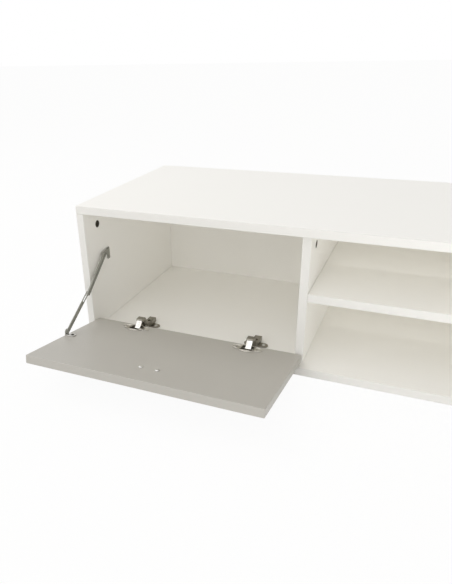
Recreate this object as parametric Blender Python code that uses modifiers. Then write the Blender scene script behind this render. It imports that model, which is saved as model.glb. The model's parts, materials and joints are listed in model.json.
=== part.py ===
# Low television wall unit: a white board carcass with three bays. The two side bays close with grey drop
# flaps on concealed cup hinges, each held by a folding stay. The left flap is open and the right one closed.
# Frame: metres, origin at the middle of the underside, +X right, +Y to the wall, +Z up.

import math

import bmesh
import bpy
from mathutils import Matrix, Vector

mm = 0.001

# Carcass
WIDTH = 1400 * mm
DEPTH = 410 * mm
HEIGHT = 290 * mm
BOARD = 16 * mm
SIDE_BAY = 437 * mm             # clear width behind each flap
DIVIDER_SETBACK = 21.5 * mm     # dividers and shelf stand behind the front plane
SHELF_UNDERSIDE = 144.5 * mm
EDGE_ROUND = 0.8 * mm
FIT = 0.3 * mm                  # gap between pieces that touch

# Back board, held in a groove on four sides
BACK_BOARD = 3 * mm
BACK_SPACE = 9 * mm             # left behind it
GROOVE_DEPTH = 5 * mm

# Knock-down fittings between the boards
FITTING_FRONT = 49 * mm         # first fitting, behind the front edge of its upright
FITTING_REAR = 70 * mm          # last fitting, ahead of the rear edge of its upright
CAM_RADIUS = 7.5 * mm
CAM_DEPTH = 12.5 * mm
CAM_DROP = 33.5 * mm            # cam centre below the top board
CAM_SINK = 0.2 * mm
BOLT_RADIUS = 3 * mm
BOLT_REACH = 10 * mm            # into the top board
SCREW_HEAD_RADIUS = 5 * mm
SCREW_HEAD = 4 * mm
SCREW_RADIUS = 3.2 * mm
SCREW_REACH = 34 * mm           # into the upright
SCREW_SINK = 0.5 * mm
SHELF_PIN_RADIUS = 2.5 * mm
SHELF_PIN_IN = 8 * mm
SHELF_PIN_OUT = 9 * mm

# Flaps, set into the front between the boards
FLAP_BOARD = 16 * mm
FLAP_SETBACK = 1 * mm
FLAP_SIDE_GAP = 2 * mm
FLAP_OVERLAP = 14 * mm          # over the divider's front edge
FLAP_END_GAP = 3.5 * mm         # at the top and at the bottom
FLAP_OPENS = 80.5               # degrees
AXIS_SETBACK = 8 * mm           # hinge axis behind the front plane
AXIS_RISE = 12 * mm             # hinge axis above the bottom board

# Cup hinges, two to a flap
HINGE_SPREAD = 245 * mm
CUP_RADIUS = 17.5 * mm
CUP_DEPTH = 12.6 * mm
CUP_RISE = 21.5 * mm            # cup centre above the flap's lower edge
CUP_WALL = 0.8 * mm
RIM_STEEL = 1.2 * mm
RIM_RADIUS = 19 * mm
WING_LENGTH = 60 * mm
WING_ROOT = 20 * mm             # width of a wing at the rim
WING_TIP = 17 * mm              # and at its round end
WING_SCREWS = 48 * mm           # between the two screws of a wing plate
MOUTH_WIDTH = 23 * mm           # opening of the cup
MOUTH_RISE = 12 * mm            # its upper edge above the cup centre
LINK_WIDTH = 11.5 * mm
LINK_STEEL = 2.4 * mm
LINK_BACK = 8.7 * mm            # upper link pin behind the hinge axis
LINK_UP = 20.3 * mm             # upper link pin above the hinge axis
LINK_LEVER = 6.5 * mm           # lower link pin from the hinge axis
LINK_PIN_RADIUS = 0.8 * mm
LINK_PLAY = 2.1 * mm            # the lower pin wanders this far in its eye halfway
LINK_EYE_WALL = 0.8 * mm
ARM_STEEL = 1.2 * mm
ARM_LIP = 175                   # degrees round the upper pin where the folded nose ends
ARM_NECK = 10.3 * mm            # raised part behind the upper link pin
ARM_SLOPE = 13.5 * mm
ARM_LENGTH = 60 * mm            # behind the upper link pin
PLATE_HEIGHT = 10.7 * mm
PLATE_LENGTH = 30 * mm
PLATE_WINGS = 50 * mm
PLATE_WING_DEPTH = 16 * mm
PLATE_WING_STEEL = 2.5 * mm
PLATE_SCREWS = 32 * mm
PLATE_SCREW_LINE = 57 * mm      # behind the front plane
WOOD_SCREW_RADIUS = 1.8 * mm
WOOD_SCREW_HEAD = 3.6 * mm      # head radius
WOOD_SCREW_DOME = 1.2 * mm
WOOD_SCREW_REACH = 10 * mm      # into the board
SCREW_CROWN = 0.6               # flat top of a domed head, as a share of its radius
SCREW_BRIM = 0.35               # upright edge of a domed head, as a share of its height
CLAMP_RADIUS = 2 * mm
CLAMP_HEAD = 3.4 * mm           # head radius
CLAMP_REACH = 6 * mm            # into the base plate

# Folding stay of each flap, beside the outer end
STAY_PIVOT_SETBACK = 50.5 * mm
STAY_PIVOT_RISE = 173 * mm      # above the underside
STAY_FOOT_RISE = 126 * mm       # above the flap's lower edge
STAY_EAR_RISE = 7 * mm          # lower pivot off the flap's inner face
STAY_FOLD = 7.5                 # degrees of bend left in the open stay
STAY_STEEL = 2 * mm
UPPER_BAR_WIDTH = 11 * mm
UPPER_BAR_RIM = 1.2 * mm        # turned-up edge of the upper bar
UPPER_BAR_RIM_RISE = 2.6 * mm
LOWER_BAR_WIDTH = 9 * mm
STAY_SLOT = 20 * mm             # slide of the elbow in the lower bar
STAY_RIVET_RADIUS = 2.2 * mm
STAY_RIVET_HEAD = 3.6 * mm      # head radius
STAY_HEAD_STEEL = 0.9 * mm
BRACKET_BACK = 27.5 * mm        # screw line behind the pivot
BRACKET_LOWER = 6.2 * mm        # bracket's middle below the pivot
BRACKET_WIDTH = 10 * mm
BRACKET_HEIGHT = 26 * mm
BRACKET_TONGUE = 9 * mm         # width of its raised tongue at the pivot
BRACKET_SCREWS = 17 * mm
FOOT_LENGTH = 20 * mm
FOOT_WIDTH = 11 * mm
FOOT_STEEL = 1.8 * mm

# Pulls on the flaps' outer faces
PULL_SCREWS = 32 * mm
PULL_DROP = 52 * mm             # below the flap's upper edge
PULL_LENGTH = 46 * mm
PULL_DEPTH = 22 * mm
PULL_HEIGHT = 14 * mm
PULL_WAIST = 8 * mm
PULL_SCREW_RADIUS = 2 * mm
PULL_SCREW_HEAD = 4.2 * mm      # head radius
PULL_SCREW_DOME = 1.8 * mm
PULL_SCREW_GRIP = 9 * mm        # thread in the pull

CUP_SIDES = 24
ROUND_SIDES = 16
BORE_SIDES = 8
WELD = 0.000001

# Places worked out from the sizes above; a point across the cabinet is (y, z)
FRONT = -DEPTH / 2
REAR = DEPTH / 2
SIDE_FACE = WIDTH / 2 - BOARD                 # inner face of a side board, from the middle
DIVIDER_OUTER = SIDE_FACE - SIDE_BAY
DIVIDER_INNER = DIVIDER_OUTER - BOARD
FLOOR = BOARD
CEILING = HEIGHT - BOARD
BACK_FACE = REAR - BACK_SPACE - BACK_BOARD
FLAP_OUTER = FRONT + FLAP_SETBACK
FLAP_INNER = FLAP_OUTER + FLAP_BOARD
FLAP_LOW = FLOOR + FLAP_END_GAP
FLAP_HIGH = CEILING - FLAP_END_GAP
FLAP_FAR = SIDE_FACE - FLAP_SIDE_GAP          # end beside the side board
FLAP_NEAR = DIVIDER_OUTER - FLAP_OVERLAP      # end in front of the divider
FLAP_MIDDLE = (FLAP_FAR + FLAP_NEAR) / 2
OPEN = math.radians(FLAP_OPENS)
AXIS = Vector((FRONT + AXIS_SETBACK, FLOOR + AXIS_RISE))
CUP_CENTRE = FLAP_LOW + CUP_RISE
PULL_LINE = FLAP_HIGH - PULL_DROP
SIDES = (("left", -1, OPEN), ("right", 1, 0.0))


def polar(angle):
    return Vector((math.cos(angle), math.sin(angle)))


def turned(point, centre, angle):
    offset = point - centre
    c, s = math.cos(angle), math.sin(angle)
    return centre + Vector((c * offset.x - s * offset.y, s * offset.x + c * offset.y))


def heading(vector):
    return math.atan2(vector.y, vector.x)


# Hinge link: seen from the upper pin, the lower pin is as far away open as it is closed
LINK_TOP = AXIS + Vector((LINK_BACK, LINK_UP))
LINK_LOW = AXIS + LINK_LEVER * polar(heading(LINK_TOP - AXIS) - OPEN / 2)      # with the flap closed
LINK_LOW_OPEN = turned(LINK_LOW, AXIS, OPEN)
LINK_SWING = heading(LINK_LOW - LINK_TOP) - heading(LINK_LOW_OPEN - LINK_TOP)
LINK_EYE = LINK_PIN_RADIUS + LINK_PLAY + FIT
LINK_HUB = LINK_PIN_RADIUS + FIT + LINK_EYE_WALL
PLATE_TOP = FLOOR + FIT + PLATE_HEIGHT
PLATE_MIDDLE = FRONT + PLATE_SCREW_LINE
ARM_NOSE = LINK_HUB + FIT + ARM_STEEL
ARM_LOW = FLOOR + FIT + PLATE_WING_STEEL + FIT
ARM_TOP = PLATE_TOP + FIT + ARM_STEEL
ARM_REAR = LINK_TOP.x + ARM_LENGTH

# Stay: two bars of one length, nearly straight when open and folded down when closed
STAY_PIVOT = Vector((FRONT + STAY_PIVOT_SETBACK, STAY_PIVOT_RISE))
STAY_EAR = Vector((FLAP_INNER + STAY_EAR_RISE, FLAP_LOW + STAY_FOOT_RISE))     # with the flap closed
STAY_SPAN = (turned(STAY_EAR, AXIS, OPEN) - STAY_PIVOT).length
BAR_LENGTH = STAY_SPAN / 2 / math.cos(math.radians(STAY_FOLD) / 2)
FAR_EAR = 2 * FIT + STAY_STEEL                # layers of the stay, counted from the side board
LOWER_LAYER = FAR_EAR + STAY_STEEL + FIT
UPPER_LAYER = LOWER_LAYER + STAY_STEEL + FIT
STUD_HEAD = UPPER_LAYER + STAY_STEEL + FIT
FOOT_SCREW = SIDE_FACE - FAR_EAR - FOOT_LENGTH + FOOT_WIDTH / 2


def stay_elbow(opening):
    ear = turned(STAY_EAR, AXIS, opening)
    reach = BAR_LENGTH - STAY_SLOT * (1 - opening / OPEN)
    span = STAY_PIVOT - ear
    along = (reach ** 2 - BAR_LENGTH ** 2 + span.length ** 2) / (2 * span.length)
    aside = math.sqrt(reach ** 2 - along ** 2)
    line = span.normalized()
    return ear + along * line + aside * Vector((line.y, -line.x))


# Scene helpers

def new_collection(name):
    group = bpy.data.collections.new(name)
    bpy.context.scene.collection.children.link(group)
    return group


def finish_of(name, colour, roughness, metallic=0.0):
    material = bpy.data.materials.new(name)
    material.use_nodes = True
    shader = material.node_tree.nodes["Principled BSDF"]
    shader.inputs["Base Color"].default_value = (*colour, 1.0)
    shader.inputs["Roughness"].default_value = roughness
    shader.inputs["Metallic"].default_value = metallic
    material.diffuse_color = (*colour, 1.0)
    return material


for leftover in list(bpy.data.objects):
    bpy.data.objects.remove(leftover, do_unlink=True)
PARTS = new_collection("tv_wall_unit")
CUTTERS = new_collection("cutters")
WHITE = finish_of("white_melamine", (0.82, 0.81, 0.79), 0.45)
GREY = finish_of("grey_melamine", (0.42, 0.41, 0.38), 0.45)
HARDBOARD = finish_of("white_hardboard", (0.72, 0.70, 0.65), 0.6)
NICKEL = finish_of("nickel_plate", (0.60, 0.59, 0.56), 0.25, 1.0)
STEEL = finish_of("zinc_plated_steel", (0.42, 0.42, 0.40), 0.35, 1.0)
CAST = finish_of("zinc_casting", (0.22, 0.20, 0.17), 0.5, 1.0)


def empty(name, place, tilt=0.0, parent=None):
    pivot = bpy.data.objects.new(name, None)
    PARTS.objects.link(pivot)
    pivot.location = place
    pivot.rotation_euler = (tilt, 0.0, 0.0)
    pivot.parent = parent
    return pivot


def mesh_object(name, bm, collection, parent):
    bmesh.ops.recalc_face_normals(bm, faces=bm.faces)
    if bm.calc_volume(signed=True) < 0:
        bmesh.ops.reverse_faces(bm, faces=bm.faces)
    mesh = bpy.data.meshes.new(name)
    bm.to_mesh(mesh)
    bm.free()
    item = bpy.data.objects.new(name, mesh)
    collection.objects.link(item)
    item.parent = parent
    return item


def piece(name, bm, finish, parent=None):
    item = mesh_object(name, bm, PARTS, parent)
    item.data.materials.append(finish)
    return item


def round_piece(name, bm, finish, parent=None):
    item = piece(name, bm, finish, parent)
    item.data.shade_smooth()
    item.data.set_sharp_from_angle(angle=math.radians(40))
    return item


def combine(item, bm, operation, label):
    tool = mesh_object(item.name + "_" + label, bm, CUTTERS, item.parent)
    tool.hide_render = True
    tool.display_type = "WIRE"
    step = item.modifiers.new(label, "BOOLEAN")
    step.operation = operation
    step.object = tool


def cut(item, bm, label):
    combine(item, bm, "DIFFERENCE", label)


def fuse(item, bm, label):
    combine(item, bm, "UNION", label)


# Shape helpers

def box(low, high):
    bm = bmesh.new()
    low, high = Vector(low), Vector(high)
    size = Matrix.Diagonal((*(high - low), 1.0))
    bmesh.ops.create_cube(bm, size=1.0, matrix=Matrix.Translation((low + high) / 2) @ size)
    return bm


def rods(ends, radius, sides=BORE_SIDES):
    # one cylinder for each pair of end points
    bm = bmesh.new()
    for start, end in ends:
        start, end = Vector(start), Vector(end)
        axis = end - start
        turn = axis.to_track_quat("Z", "Y").to_matrix().to_4x4()
        bmesh.ops.create_cone(bm, cap_ends=True, segments=sides, radius1=radius, radius2=radius,
                              depth=axis.length, matrix=Matrix.Translation((start + end) / 2) @ turn)
    return bm


def rod(start, end, radius, sides=ROUND_SIDES):
    return rods([(start, end)], radius, sides)


def arc(centre, radius, start, end, steps=6):
    # points on a circle, angles in degrees
    places = []
    for i in range(steps + 1):
        point = Vector(centre) + radius * polar(math.radians(start + (end - start) * i / steps))
        places.append((point.x, point.y))
    return places


def ring(centre, radius, sides=BORE_SIDES):
    return arc(centre, radius, 0, 360 - 360 / sides, sides - 1)


def parallel(path, distance):
    # a path moved to its left, with mitred bends
    path = [Vector(place) for place in path]
    lines = [(after - before).normalized() for before, after in zip(path, path[1:])]
    places = []
    for point, one, two in zip(path, lines[:1] + lines, lines + lines[-1:]):
        mitre = Vector((-one.y - two.y, one.x + two.x)).normalized()
        place = point + distance / mitre.dot(Vector((-one.y, one.x))) * mitre
        places.append((place.x, place.y))
    return places


def strip(start, end, radius):
    # outline of a straight strip between two points, with round ends
    aim = math.degrees(heading(Vector(end) - Vector(start)))
    return arc(start, radius, aim + 90, aim + 270) + arc(end, radius, aim - 90, aim + 90)


def sheet(loops, thickness):
    # flat outline with holes in the XY plane, thickness centred on z = 0
    curve = bpy.data.curves.new("outline", "CURVE")
    curve.dimensions = "2D"
    curve.fill_mode = "BOTH"
    curve.extrude = thickness / 2
    for loop in loops:
        spline = curve.splines.new("POLY")
        spline.points.add(len(loop) - 1)
        for point, place in zip(spline.points, loop):
            point.co = (place[0], place[1], 0.0, 1.0)
        spline.use_cyclic_u = True
    holder = bpy.data.objects.new("outline", curve)
    bpy.context.scene.collection.objects.link(holder)
    solved = holder.evaluated_get(bpy.context.evaluated_depsgraph_get())
    mesh = bpy.data.meshes.new_from_object(solved)
    bm = bmesh.new()
    bm.from_mesh(mesh)
    bmesh.ops.remove_doubles(bm, verts=bm.verts, dist=WELD)
    bmesh.ops.dissolve_limit(bm, angle_limit=math.radians(1), verts=bm.verts, edges=bm.edges)
    bpy.data.objects.remove(holder, do_unlink=True)
    bpy.data.meshes.remove(mesh)
    bpy.data.curves.remove(curve)
    return bm


def side_sheet(loops, low, high):
    # outline given in Y and Z, filling x from low to high
    bm = sheet(loops, abs(high - low))
    across = Matrix(((0, 0, 1, 0), (1, 0, 0, 0), (0, 1, 0, 0), (0, 0, 0, 1)))
    bm.transform(Matrix.Translation(((low + high) / 2, 0, 0)) @ across)
    return bm


def front_sheet(loops, near, far):
    # outline given in X and Z, filling y from near to far
    bm = sheet(loops, far - near)
    facing = Matrix(((1, 0, 0, 0), (0, 0, -1, 0), (0, 1, 0, 0), (0, 0, 0, 1)))
    bm.transform(Matrix.Translation((0, (near + far) / 2, 0)) @ facing)
    return bm


def lathe(profile, places):
    # turned solids from (radius, height) points given top to bottom, one at each place and upward direction
    mesh = bpy.data.meshes.new("profile")
    points = [(radius, 0.0, height) for radius, height in profile]
    mesh.from_pydata(points, [(i, i + 1) for i in range(len(points) - 1)], [])
    holder = bpy.data.objects.new("profile", mesh)
    bpy.context.scene.collection.objects.link(holder)
    turn = holder.modifiers.new("turn", "SCREW")
    turn.steps = BORE_SIDES
    turn.render_steps = BORE_SIDES
    turn.use_merge_vertices = True
    turn.merge_threshold = WELD
    solved = holder.evaluated_get(bpy.context.evaluated_depsgraph_get())
    solid = bpy.data.meshes.new_from_object(solved)
    bm = bmesh.new()
    for origin, up in places:
        copy = solid.copy()
        direction = Vector(up).to_track_quat("Z", "Y").to_matrix().to_4x4()
        copy.transform(Matrix.Translation(origin) @ direction)
        bm.from_mesh(copy)
        bpy.data.meshes.remove(copy)
    bmesh.ops.remove_doubles(bm, verts=bm.verts, dist=WELD)
    bpy.data.objects.remove(holder, do_unlink=True)
    bpy.data.meshes.remove(mesh)
    bpy.data.meshes.remove(solid)
    return bm


def domed_screw(radius, head, dome, reach):
    # profile with the underside of the head at height 0
    return [(0, dome), (head * SCREW_CROWN, dome), (head, dome * SCREW_BRIM), (head, 0), (radius, 0),
            (radius, -reach), (0, -reach)]


def joined(first, second):
    mesh = bpy.data.meshes.new("joined")
    second.to_mesh(mesh)
    second.free()
    first.from_mesh(mesh)
    bpy.data.meshes.remove(mesh)
    return first


def relative(bm, pivot):
    # from places in the cabinet, with the flap closed, to the pivot's own frame
    bm.transform(Matrix.Translation(-pivot.location))
    return bm


# Carcass boards

def round_edges(item):
    bevel = item.modifiers.new("edges", "BEVEL")
    bevel.width = EDGE_ROUND
    bevel.segments = 1


def board(name, low, high):
    item = piece(name, box(low, high), WHITE)
    round_edges(item)
    return item


class Upright:
    # a side board or a divider: its label, inner and outer face in x, and front and rear edge in y

    def __init__(self, side, sign, is_side):
        self.label = side + ("_side" if is_side else "_divider")
        self.name = self.label + ("_panel" if is_side else "")
        self.sign = sign
        self.is_side = is_side
        self.inner = sign * (SIDE_FACE if is_side else DIVIDER_INNER)
        self.middle = self.inner + sign * BOARD / 2
        self.near = FRONT if is_side else FRONT + DIVIDER_SETBACK
        self.far = REAR if is_side else BACK_FACE - FIT
        self.rows = (("front", self.near + FITTING_FRONT), ("rear", self.far - FITTING_REAR))
        half = BOARD / 2
        self.item = board(self.name, (self.middle - half, self.near, FLOOR + FIT),
                          (self.middle + half, self.far, CEILING - FIT))

    def inside(self, depth):
        # x at a depth under the inner face
        return self.inner + self.sign * depth


def groove(low_x, high_x, low_z, high_z):
    return box((low_x, BACK_FACE - FIT, low_z), (high_x, BACK_FACE + BACK_BOARD + FIT, high_z))


def carcass():
    half = WIDTH / 2
    reach = SIDE_FACE + GROOVE_DEPTH
    top = board("top_panel", (-half, FRONT, CEILING), (half, REAR, HEIGHT))
    cut(top, groove(-reach, reach, CEILING - FIT, CEILING + GROOVE_DEPTH), "groove")
    bottom = board("bottom_panel", (-half, FRONT, 0), (half, REAR, FLOOR))
    cut(bottom, groove(-reach, reach, FLOOR - GROOVE_DEPTH, FLOOR + FIT), "groove")
    uprights = [Upright(side, sign, is_side) for side, sign, _ in SIDES for is_side in (True, False)]
    for upright in uprights:
        if upright.is_side:
            low, high = sorted((upright.inside(-FIT), upright.inside(GROOVE_DEPTH)))
            cut(upright.item, groove(low, high, FLOOR, CEILING), "groove")
    shelf_end = DIVIDER_INNER - FIT
    board("middle_shelf", (-shelf_end, FRONT + DIVIDER_SETBACK, SHELF_UNDERSIDE),
          (shelf_end, BACK_FACE - FIT, SHELF_UNDERSIDE + BOARD))
    edge = reach - FIT
    low, high = FLOOR - GROOVE_DEPTH + FIT, CEILING + GROOVE_DEPTH - FIT
    piece("back_panel", box((-edge, BACK_FACE, low), (edge, BACK_FACE + BACK_BOARD, high)), HARDBOARD)
    return top, bottom, uprights


# Knock-down fittings

def cam_fittings(upright, top):
    # each cam lock is one solid with the bolt that it holds
    height = CEILING - CAM_DROP
    x = upright.middle
    rows = [row for _, row in upright.rows]
    bolt_end = CEILING + BOLT_REACH
    pockets = [((upright.inside(CAM_DEPTH + FIT), y, height), (upright.inside(-FIT), y, height)) for y in rows]
    cut(upright.item, rods(pockets, CAM_RADIUS + FIT, ROUND_SIDES), "cam_pockets")
    bores = [((x, y, height), (x, y, CEILING)) for y in rows]
    cut(upright.item, rods(bores, BOLT_RADIUS + FIT), "bolt_bores")
    bores = [((x, y, CEILING - FIT), (x, y, bolt_end + FIT)) for y in rows]
    cut(top, rods(bores, BOLT_RADIUS + FIT), upright.label + "_bolt_bores")
    for place, y in upright.rows:
        cam = rod((upright.inside(CAM_DEPTH), y, height), (upright.inside(CAM_SINK), y, height), CAM_RADIUS)
        item = round_piece(upright.label + "_" + place + "_cam", cam, CAST)
        fuse(item, rods([((x, y, height), (x, y, bolt_end))], BOLT_RADIUS), "bolt")


def base_screw(gap, low):
    # profile of a screw that is gap thicker all round and starts at the height low
    shoulder, tip = SCREW_SINK + SCREW_HEAD + gap, FLOOR + SCREW_REACH + gap
    shank, head = SCREW_RADIUS + gap, SCREW_HEAD_RADIUS + gap
    return [(0, tip), (shank, tip), (shank, shoulder), (head, shoulder), (head, low), (0, low)]


def base_screws(uprights, bottom):
    places = []
    for upright in uprights:
        x = upright.middle
        for place, y in upright.rows:
            places.append(((x, y, 0), (0, 0, 1)))
            bm = lathe(base_screw(0, SCREW_SINK), places[-1:])
            round_piece(upright.label + "_" + place + "_base_screw", bm, STEEL)
        pilots = [((x, y, FLOOR), (x, y, FLOOR + SCREW_REACH + FIT)) for _, y in upright.rows]
        cut(upright.item, rods(pilots, SCREW_RADIUS + FIT), "screw_pilots")
    cut(bottom, lathe(base_screw(FIT, -FIT), places), "screw_ways")


def shelf_pins(upright):
    height = SHELF_UNDERSIDE - FIT - SHELF_PIN_RADIUS
    bores = []
    for place, y in upright.rows:
        end = (upright.inside(-SHELF_PIN_OUT), y, height)
        name = upright.label.replace("divider", place) + "_shelf_pin"
        round_piece(name, rods([((upright.inside(SHELF_PIN_IN), y, height), end)], SHELF_PIN_RADIUS), STEEL)
        bores.append(((upright.inside(SHELF_PIN_IN + FIT), y, height), end))
    cut(upright.item, rods(bores, SHELF_PIN_RADIUS + FIT), "pin_bores")


# Flaps

def hinge_places(sign):
    middle = sign * FLAP_MIDDLE
    return (("left", middle - HINGE_SPREAD / 2), ("right", middle + HINGE_SPREAD / 2))


def pull_places(sign):
    middle = sign * FLAP_MIDDLE
    return (("left", middle - PULL_SCREWS / 2), ("right", middle + PULL_SCREWS / 2))


def screw_line(x, spacing):
    return (x - spacing / 2, x + spacing / 2)


def flap_board(side, sign, pivot):
    low, high = sorted((sign * FLAP_NEAR, sign * FLAP_FAR))
    bm = box((low, FLAP_OUTER, FLAP_LOW), (high, FLAP_INNER, FLAP_HIGH))
    item = piece(side + "_flap", relative(bm, pivot), GREY, pivot)
    round_edges(item)
    mouth = FLAP_INNER + FIT
    floor = FLAP_INNER - CUP_DEPTH - FIT
    cups = [((x, floor, CUP_CENTRE), (x, mouth, CUP_CENTRE)) for _, x in hinge_places(sign)]
    cut(item, relative(rods(cups, CUP_RADIUS + FIT, CUP_SIDES), pivot), "cup_bores")
    tip = FLAP_INNER - WOOD_SCREW_REACH - FIT
    screws = [(x, CUP_CENTRE) for _, middle in hinge_places(sign) for x in screw_line(middle, WING_SCREWS)]
    screws.append((sign * FOOT_SCREW, STAY_EAR.y))
    pilots = [((x, tip, z), (x, mouth, z)) for x, z in screws]
    cut(item, relative(rods(pilots, WOOD_SCREW_RADIUS + FIT), pivot), "pilots")
    ways = [((x, FLAP_OUTER - FIT, PULL_LINE), (x, mouth, PULL_LINE)) for _, x in pull_places(sign)]
    cut(item, relative(rods(ways, PULL_SCREW_RADIUS + FIT), pivot), "pull_ways")


def flap_pull(side, sign, pivot):
    base = FLAP_OUTER - FIT
    nose = base - PULL_DEPTH
    shoulder, brow = nose + PULL_DEPTH / 2, nose + PULL_DEPTH / 4
    half, waist = PULL_HEIGHT / 2, PULL_WAIST / 2
    upper = [(base, waist), (shoulder, waist), (brow, half), (nose, half)]
    outline = [(y, PULL_LINE + z) for y, z in upper] + [(y, PULL_LINE - z) for y, z in reversed(upper)]
    middle = sign * FLAP_MIDDLE
    bm = side_sheet([outline], middle - PULL_LENGTH / 2, middle + PULL_LENGTH / 2)
    item = piece(side + "_pull", relative(bm, pivot), NICKEL, pivot)
    bores = [((x, base - PULL_SCREW_GRIP - FIT, PULL_LINE), (x, base + FIT, PULL_LINE))
             for _, x in pull_places(sign)]
    cut(item, relative(rods(bores, PULL_SCREW_RADIUS + FIT), pivot), "screw_bores")
    seat = FLAP_INNER + FIT
    reach = seat - base + PULL_SCREW_GRIP
    profile = domed_screw(PULL_SCREW_RADIUS, PULL_SCREW_HEAD, PULL_SCREW_DOME, reach)
    for place, x in pull_places(sign):
        bm = lathe(profile, [((x, seat, PULL_LINE), (0, 1, 0))])
        round_piece(side + "_pull_" + place + "_screw", relative(bm, pivot), STEEL, pivot)


# Hinges; each fitting is one solid with its own fixing screws

def wood_screws(places, up, grip):
    # grip is what lies between the head and the board
    reach = grip + WOOD_SCREW_REACH
    return lathe(domed_screw(WOOD_SCREW_RADIUS, WOOD_SCREW_HEAD, WOOD_SCREW_DOME, reach),
                 [(place, up) for place in places])


def wing_outline(x):
    # round rim of a cup with a wing to either side
    tip = WING_TIP / 2
    reach = WING_LENGTH / 2 - tip
    shoulder = math.degrees(math.asin(WING_ROOT / 2 / RIM_RADIUS))
    centre = (x, CUP_CENTRE)
    return (arc((x + reach, CUP_CENTRE), tip, -90, 90) + arc(centre, RIM_RADIUS, shoulder, 180 - shoulder, 8)
            + arc((x - reach, CUP_CENTRE), tip, 90, 270)
            + arc(centre, RIM_RADIUS, 180 + shoulder, 360 - shoulder, 8))


def mouth_outline(x):
    # opening in the rim for the link and the arm, a little inside the cup's wall
    half, radius = MOUTH_WIDTH / 2, CUP_RADIUS - CUP_WALL - FIT
    corner = math.degrees(math.asin(half / radius))
    high = CUP_CENTRE + MOUTH_RISE
    return arc((x, CUP_CENTRE), radius, 270 - corner, 270 + corner) + [(x + half, high), (x - half, high)]


def hinge_cup(name, x, pivot):
    near, far = FLAP_INNER + FIT, FLAP_INNER + FIT + RIM_STEEL
    sunk = (near + far) / 2
    item = round_piece(name, relative(front_sheet([wing_outline(x)], near, far), pivot), NICKEL, pivot)
    floor = FLAP_INNER - CUP_DEPTH
    shell = rod((x, floor, CUP_CENTRE), (x, sunk, CUP_CENTRE), CUP_RADIUS, CUP_SIDES)
    fuse(item, relative(shell, pivot), "cup")
    hollow = CUP_RADIUS - CUP_WALL
    bm = rod((x, floor + CUP_WALL, CUP_CENTRE), (x, sunk, CUP_CENTRE), hollow, CUP_SIDES)
    cut(item, relative(bm, pivot), "hollow")
    cut(item, relative(front_sheet([mouth_outline(x)], near, far + FIT), pivot), "mouth")
    half = math.sqrt(hollow ** 2 - (LINK_LOW.y - CUP_CENTRE) ** 2)
    pin = rods([((x - half, *LINK_LOW), (x + half, *LINK_LOW))], LINK_PIN_RADIUS)
    places = [(place, sunk, CUP_CENTRE) for place in screw_line(x, WING_SCREWS)]
    screws = wood_screws(places, (0, 1, 0), sunk - FLAP_INNER)
    fuse(item, relative(joined(pin, screws), pivot), "pin_and_screws")


def hinge_link(name, x, pivot):
    # drawn with the flap open, from the upper pin
    low = LINK_LOW_OPEN - LINK_TOP
    left, right = x - LINK_WIDTH / 2, x + LINK_WIDTH / 2
    item = round_piece(name, side_sheet([strip((0, 0), low, LINK_STEEL / 2)], left, right), NICKEL, pivot)
    fuse(item, rod((left, *low), (right, *low), LINK_EYE + LINK_EYE_WALL), "eye")
    cut(item, rod((left - FIT, *low), (right + FIT, *low), LINK_EYE), "eye_hole")
    fuse(item, rod((left, 0, 0), (right, 0, 0), LINK_HUB), "hub")
    cut(item, rods([((left - FIT, 0, 0), (right + FIT, 0, 0))], LINK_PIN_RADIUS + FIT), "hub_hole")


def hinge_arm(name, x):
    # a channel over the base plate, folded over the link's upper end at its nose
    inside = LINK_WIDTH / 2 + FIT
    outside = inside + ARM_STEEL
    nose = LINK_TOP
    neck = nose.x + ARM_NECK
    block = neck + ARM_SLOPE
    back = [(nose.x, nose.y + ARM_NOSE), (neck, nose.y + ARM_NOSE), (block, ARM_TOP), (ARM_REAR, ARM_TOP)]
    outline = arc(nose, ARM_NOSE, 270, 90) + back[1:] + [
        (ARM_REAR, ARM_LOW), (block, ARM_LOW), (neck, nose.y - ARM_NOSE)]
    item = piece(name, side_sheet([outline], x - outside, x + outside), NICKEL)
    rear, under = ARM_REAR - ARM_STEEL, ARM_LOW - FIT
    ahead = nose + ARM_NECK * polar(math.radians(ARM_LIP))
    slot = [(ahead.x, ahead.y)] + arc(nose, ARM_NOSE - ARM_STEEL, ARM_LIP, 90) + parallel(back, -ARM_STEEL)[1:-1] + [
        (rear, ARM_TOP - ARM_STEEL), (rear, under), (ahead.x, under)]
    cut(item, side_sheet([slot], x - inside, x + inside), "channel")
    cheek = inside + ARM_STEEL / 2
    pin = rods([((x - cheek, *nose), (x + cheek, *nose))], LINK_PIN_RADIUS)
    seat = ARM_TOP - ARM_STEEL / 2
    reach = seat - PLATE_TOP + CLAMP_REACH
    profile = domed_screw(CLAMP_RADIUS, CLAMP_HEAD, WOOD_SCREW_DOME, reach)
    screw = lathe(profile, [((x, PLATE_MIDDLE, seat), (0, 0, 1))])
    fuse(item, joined(pin, screw), "pin_and_clamp_screw")


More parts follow.
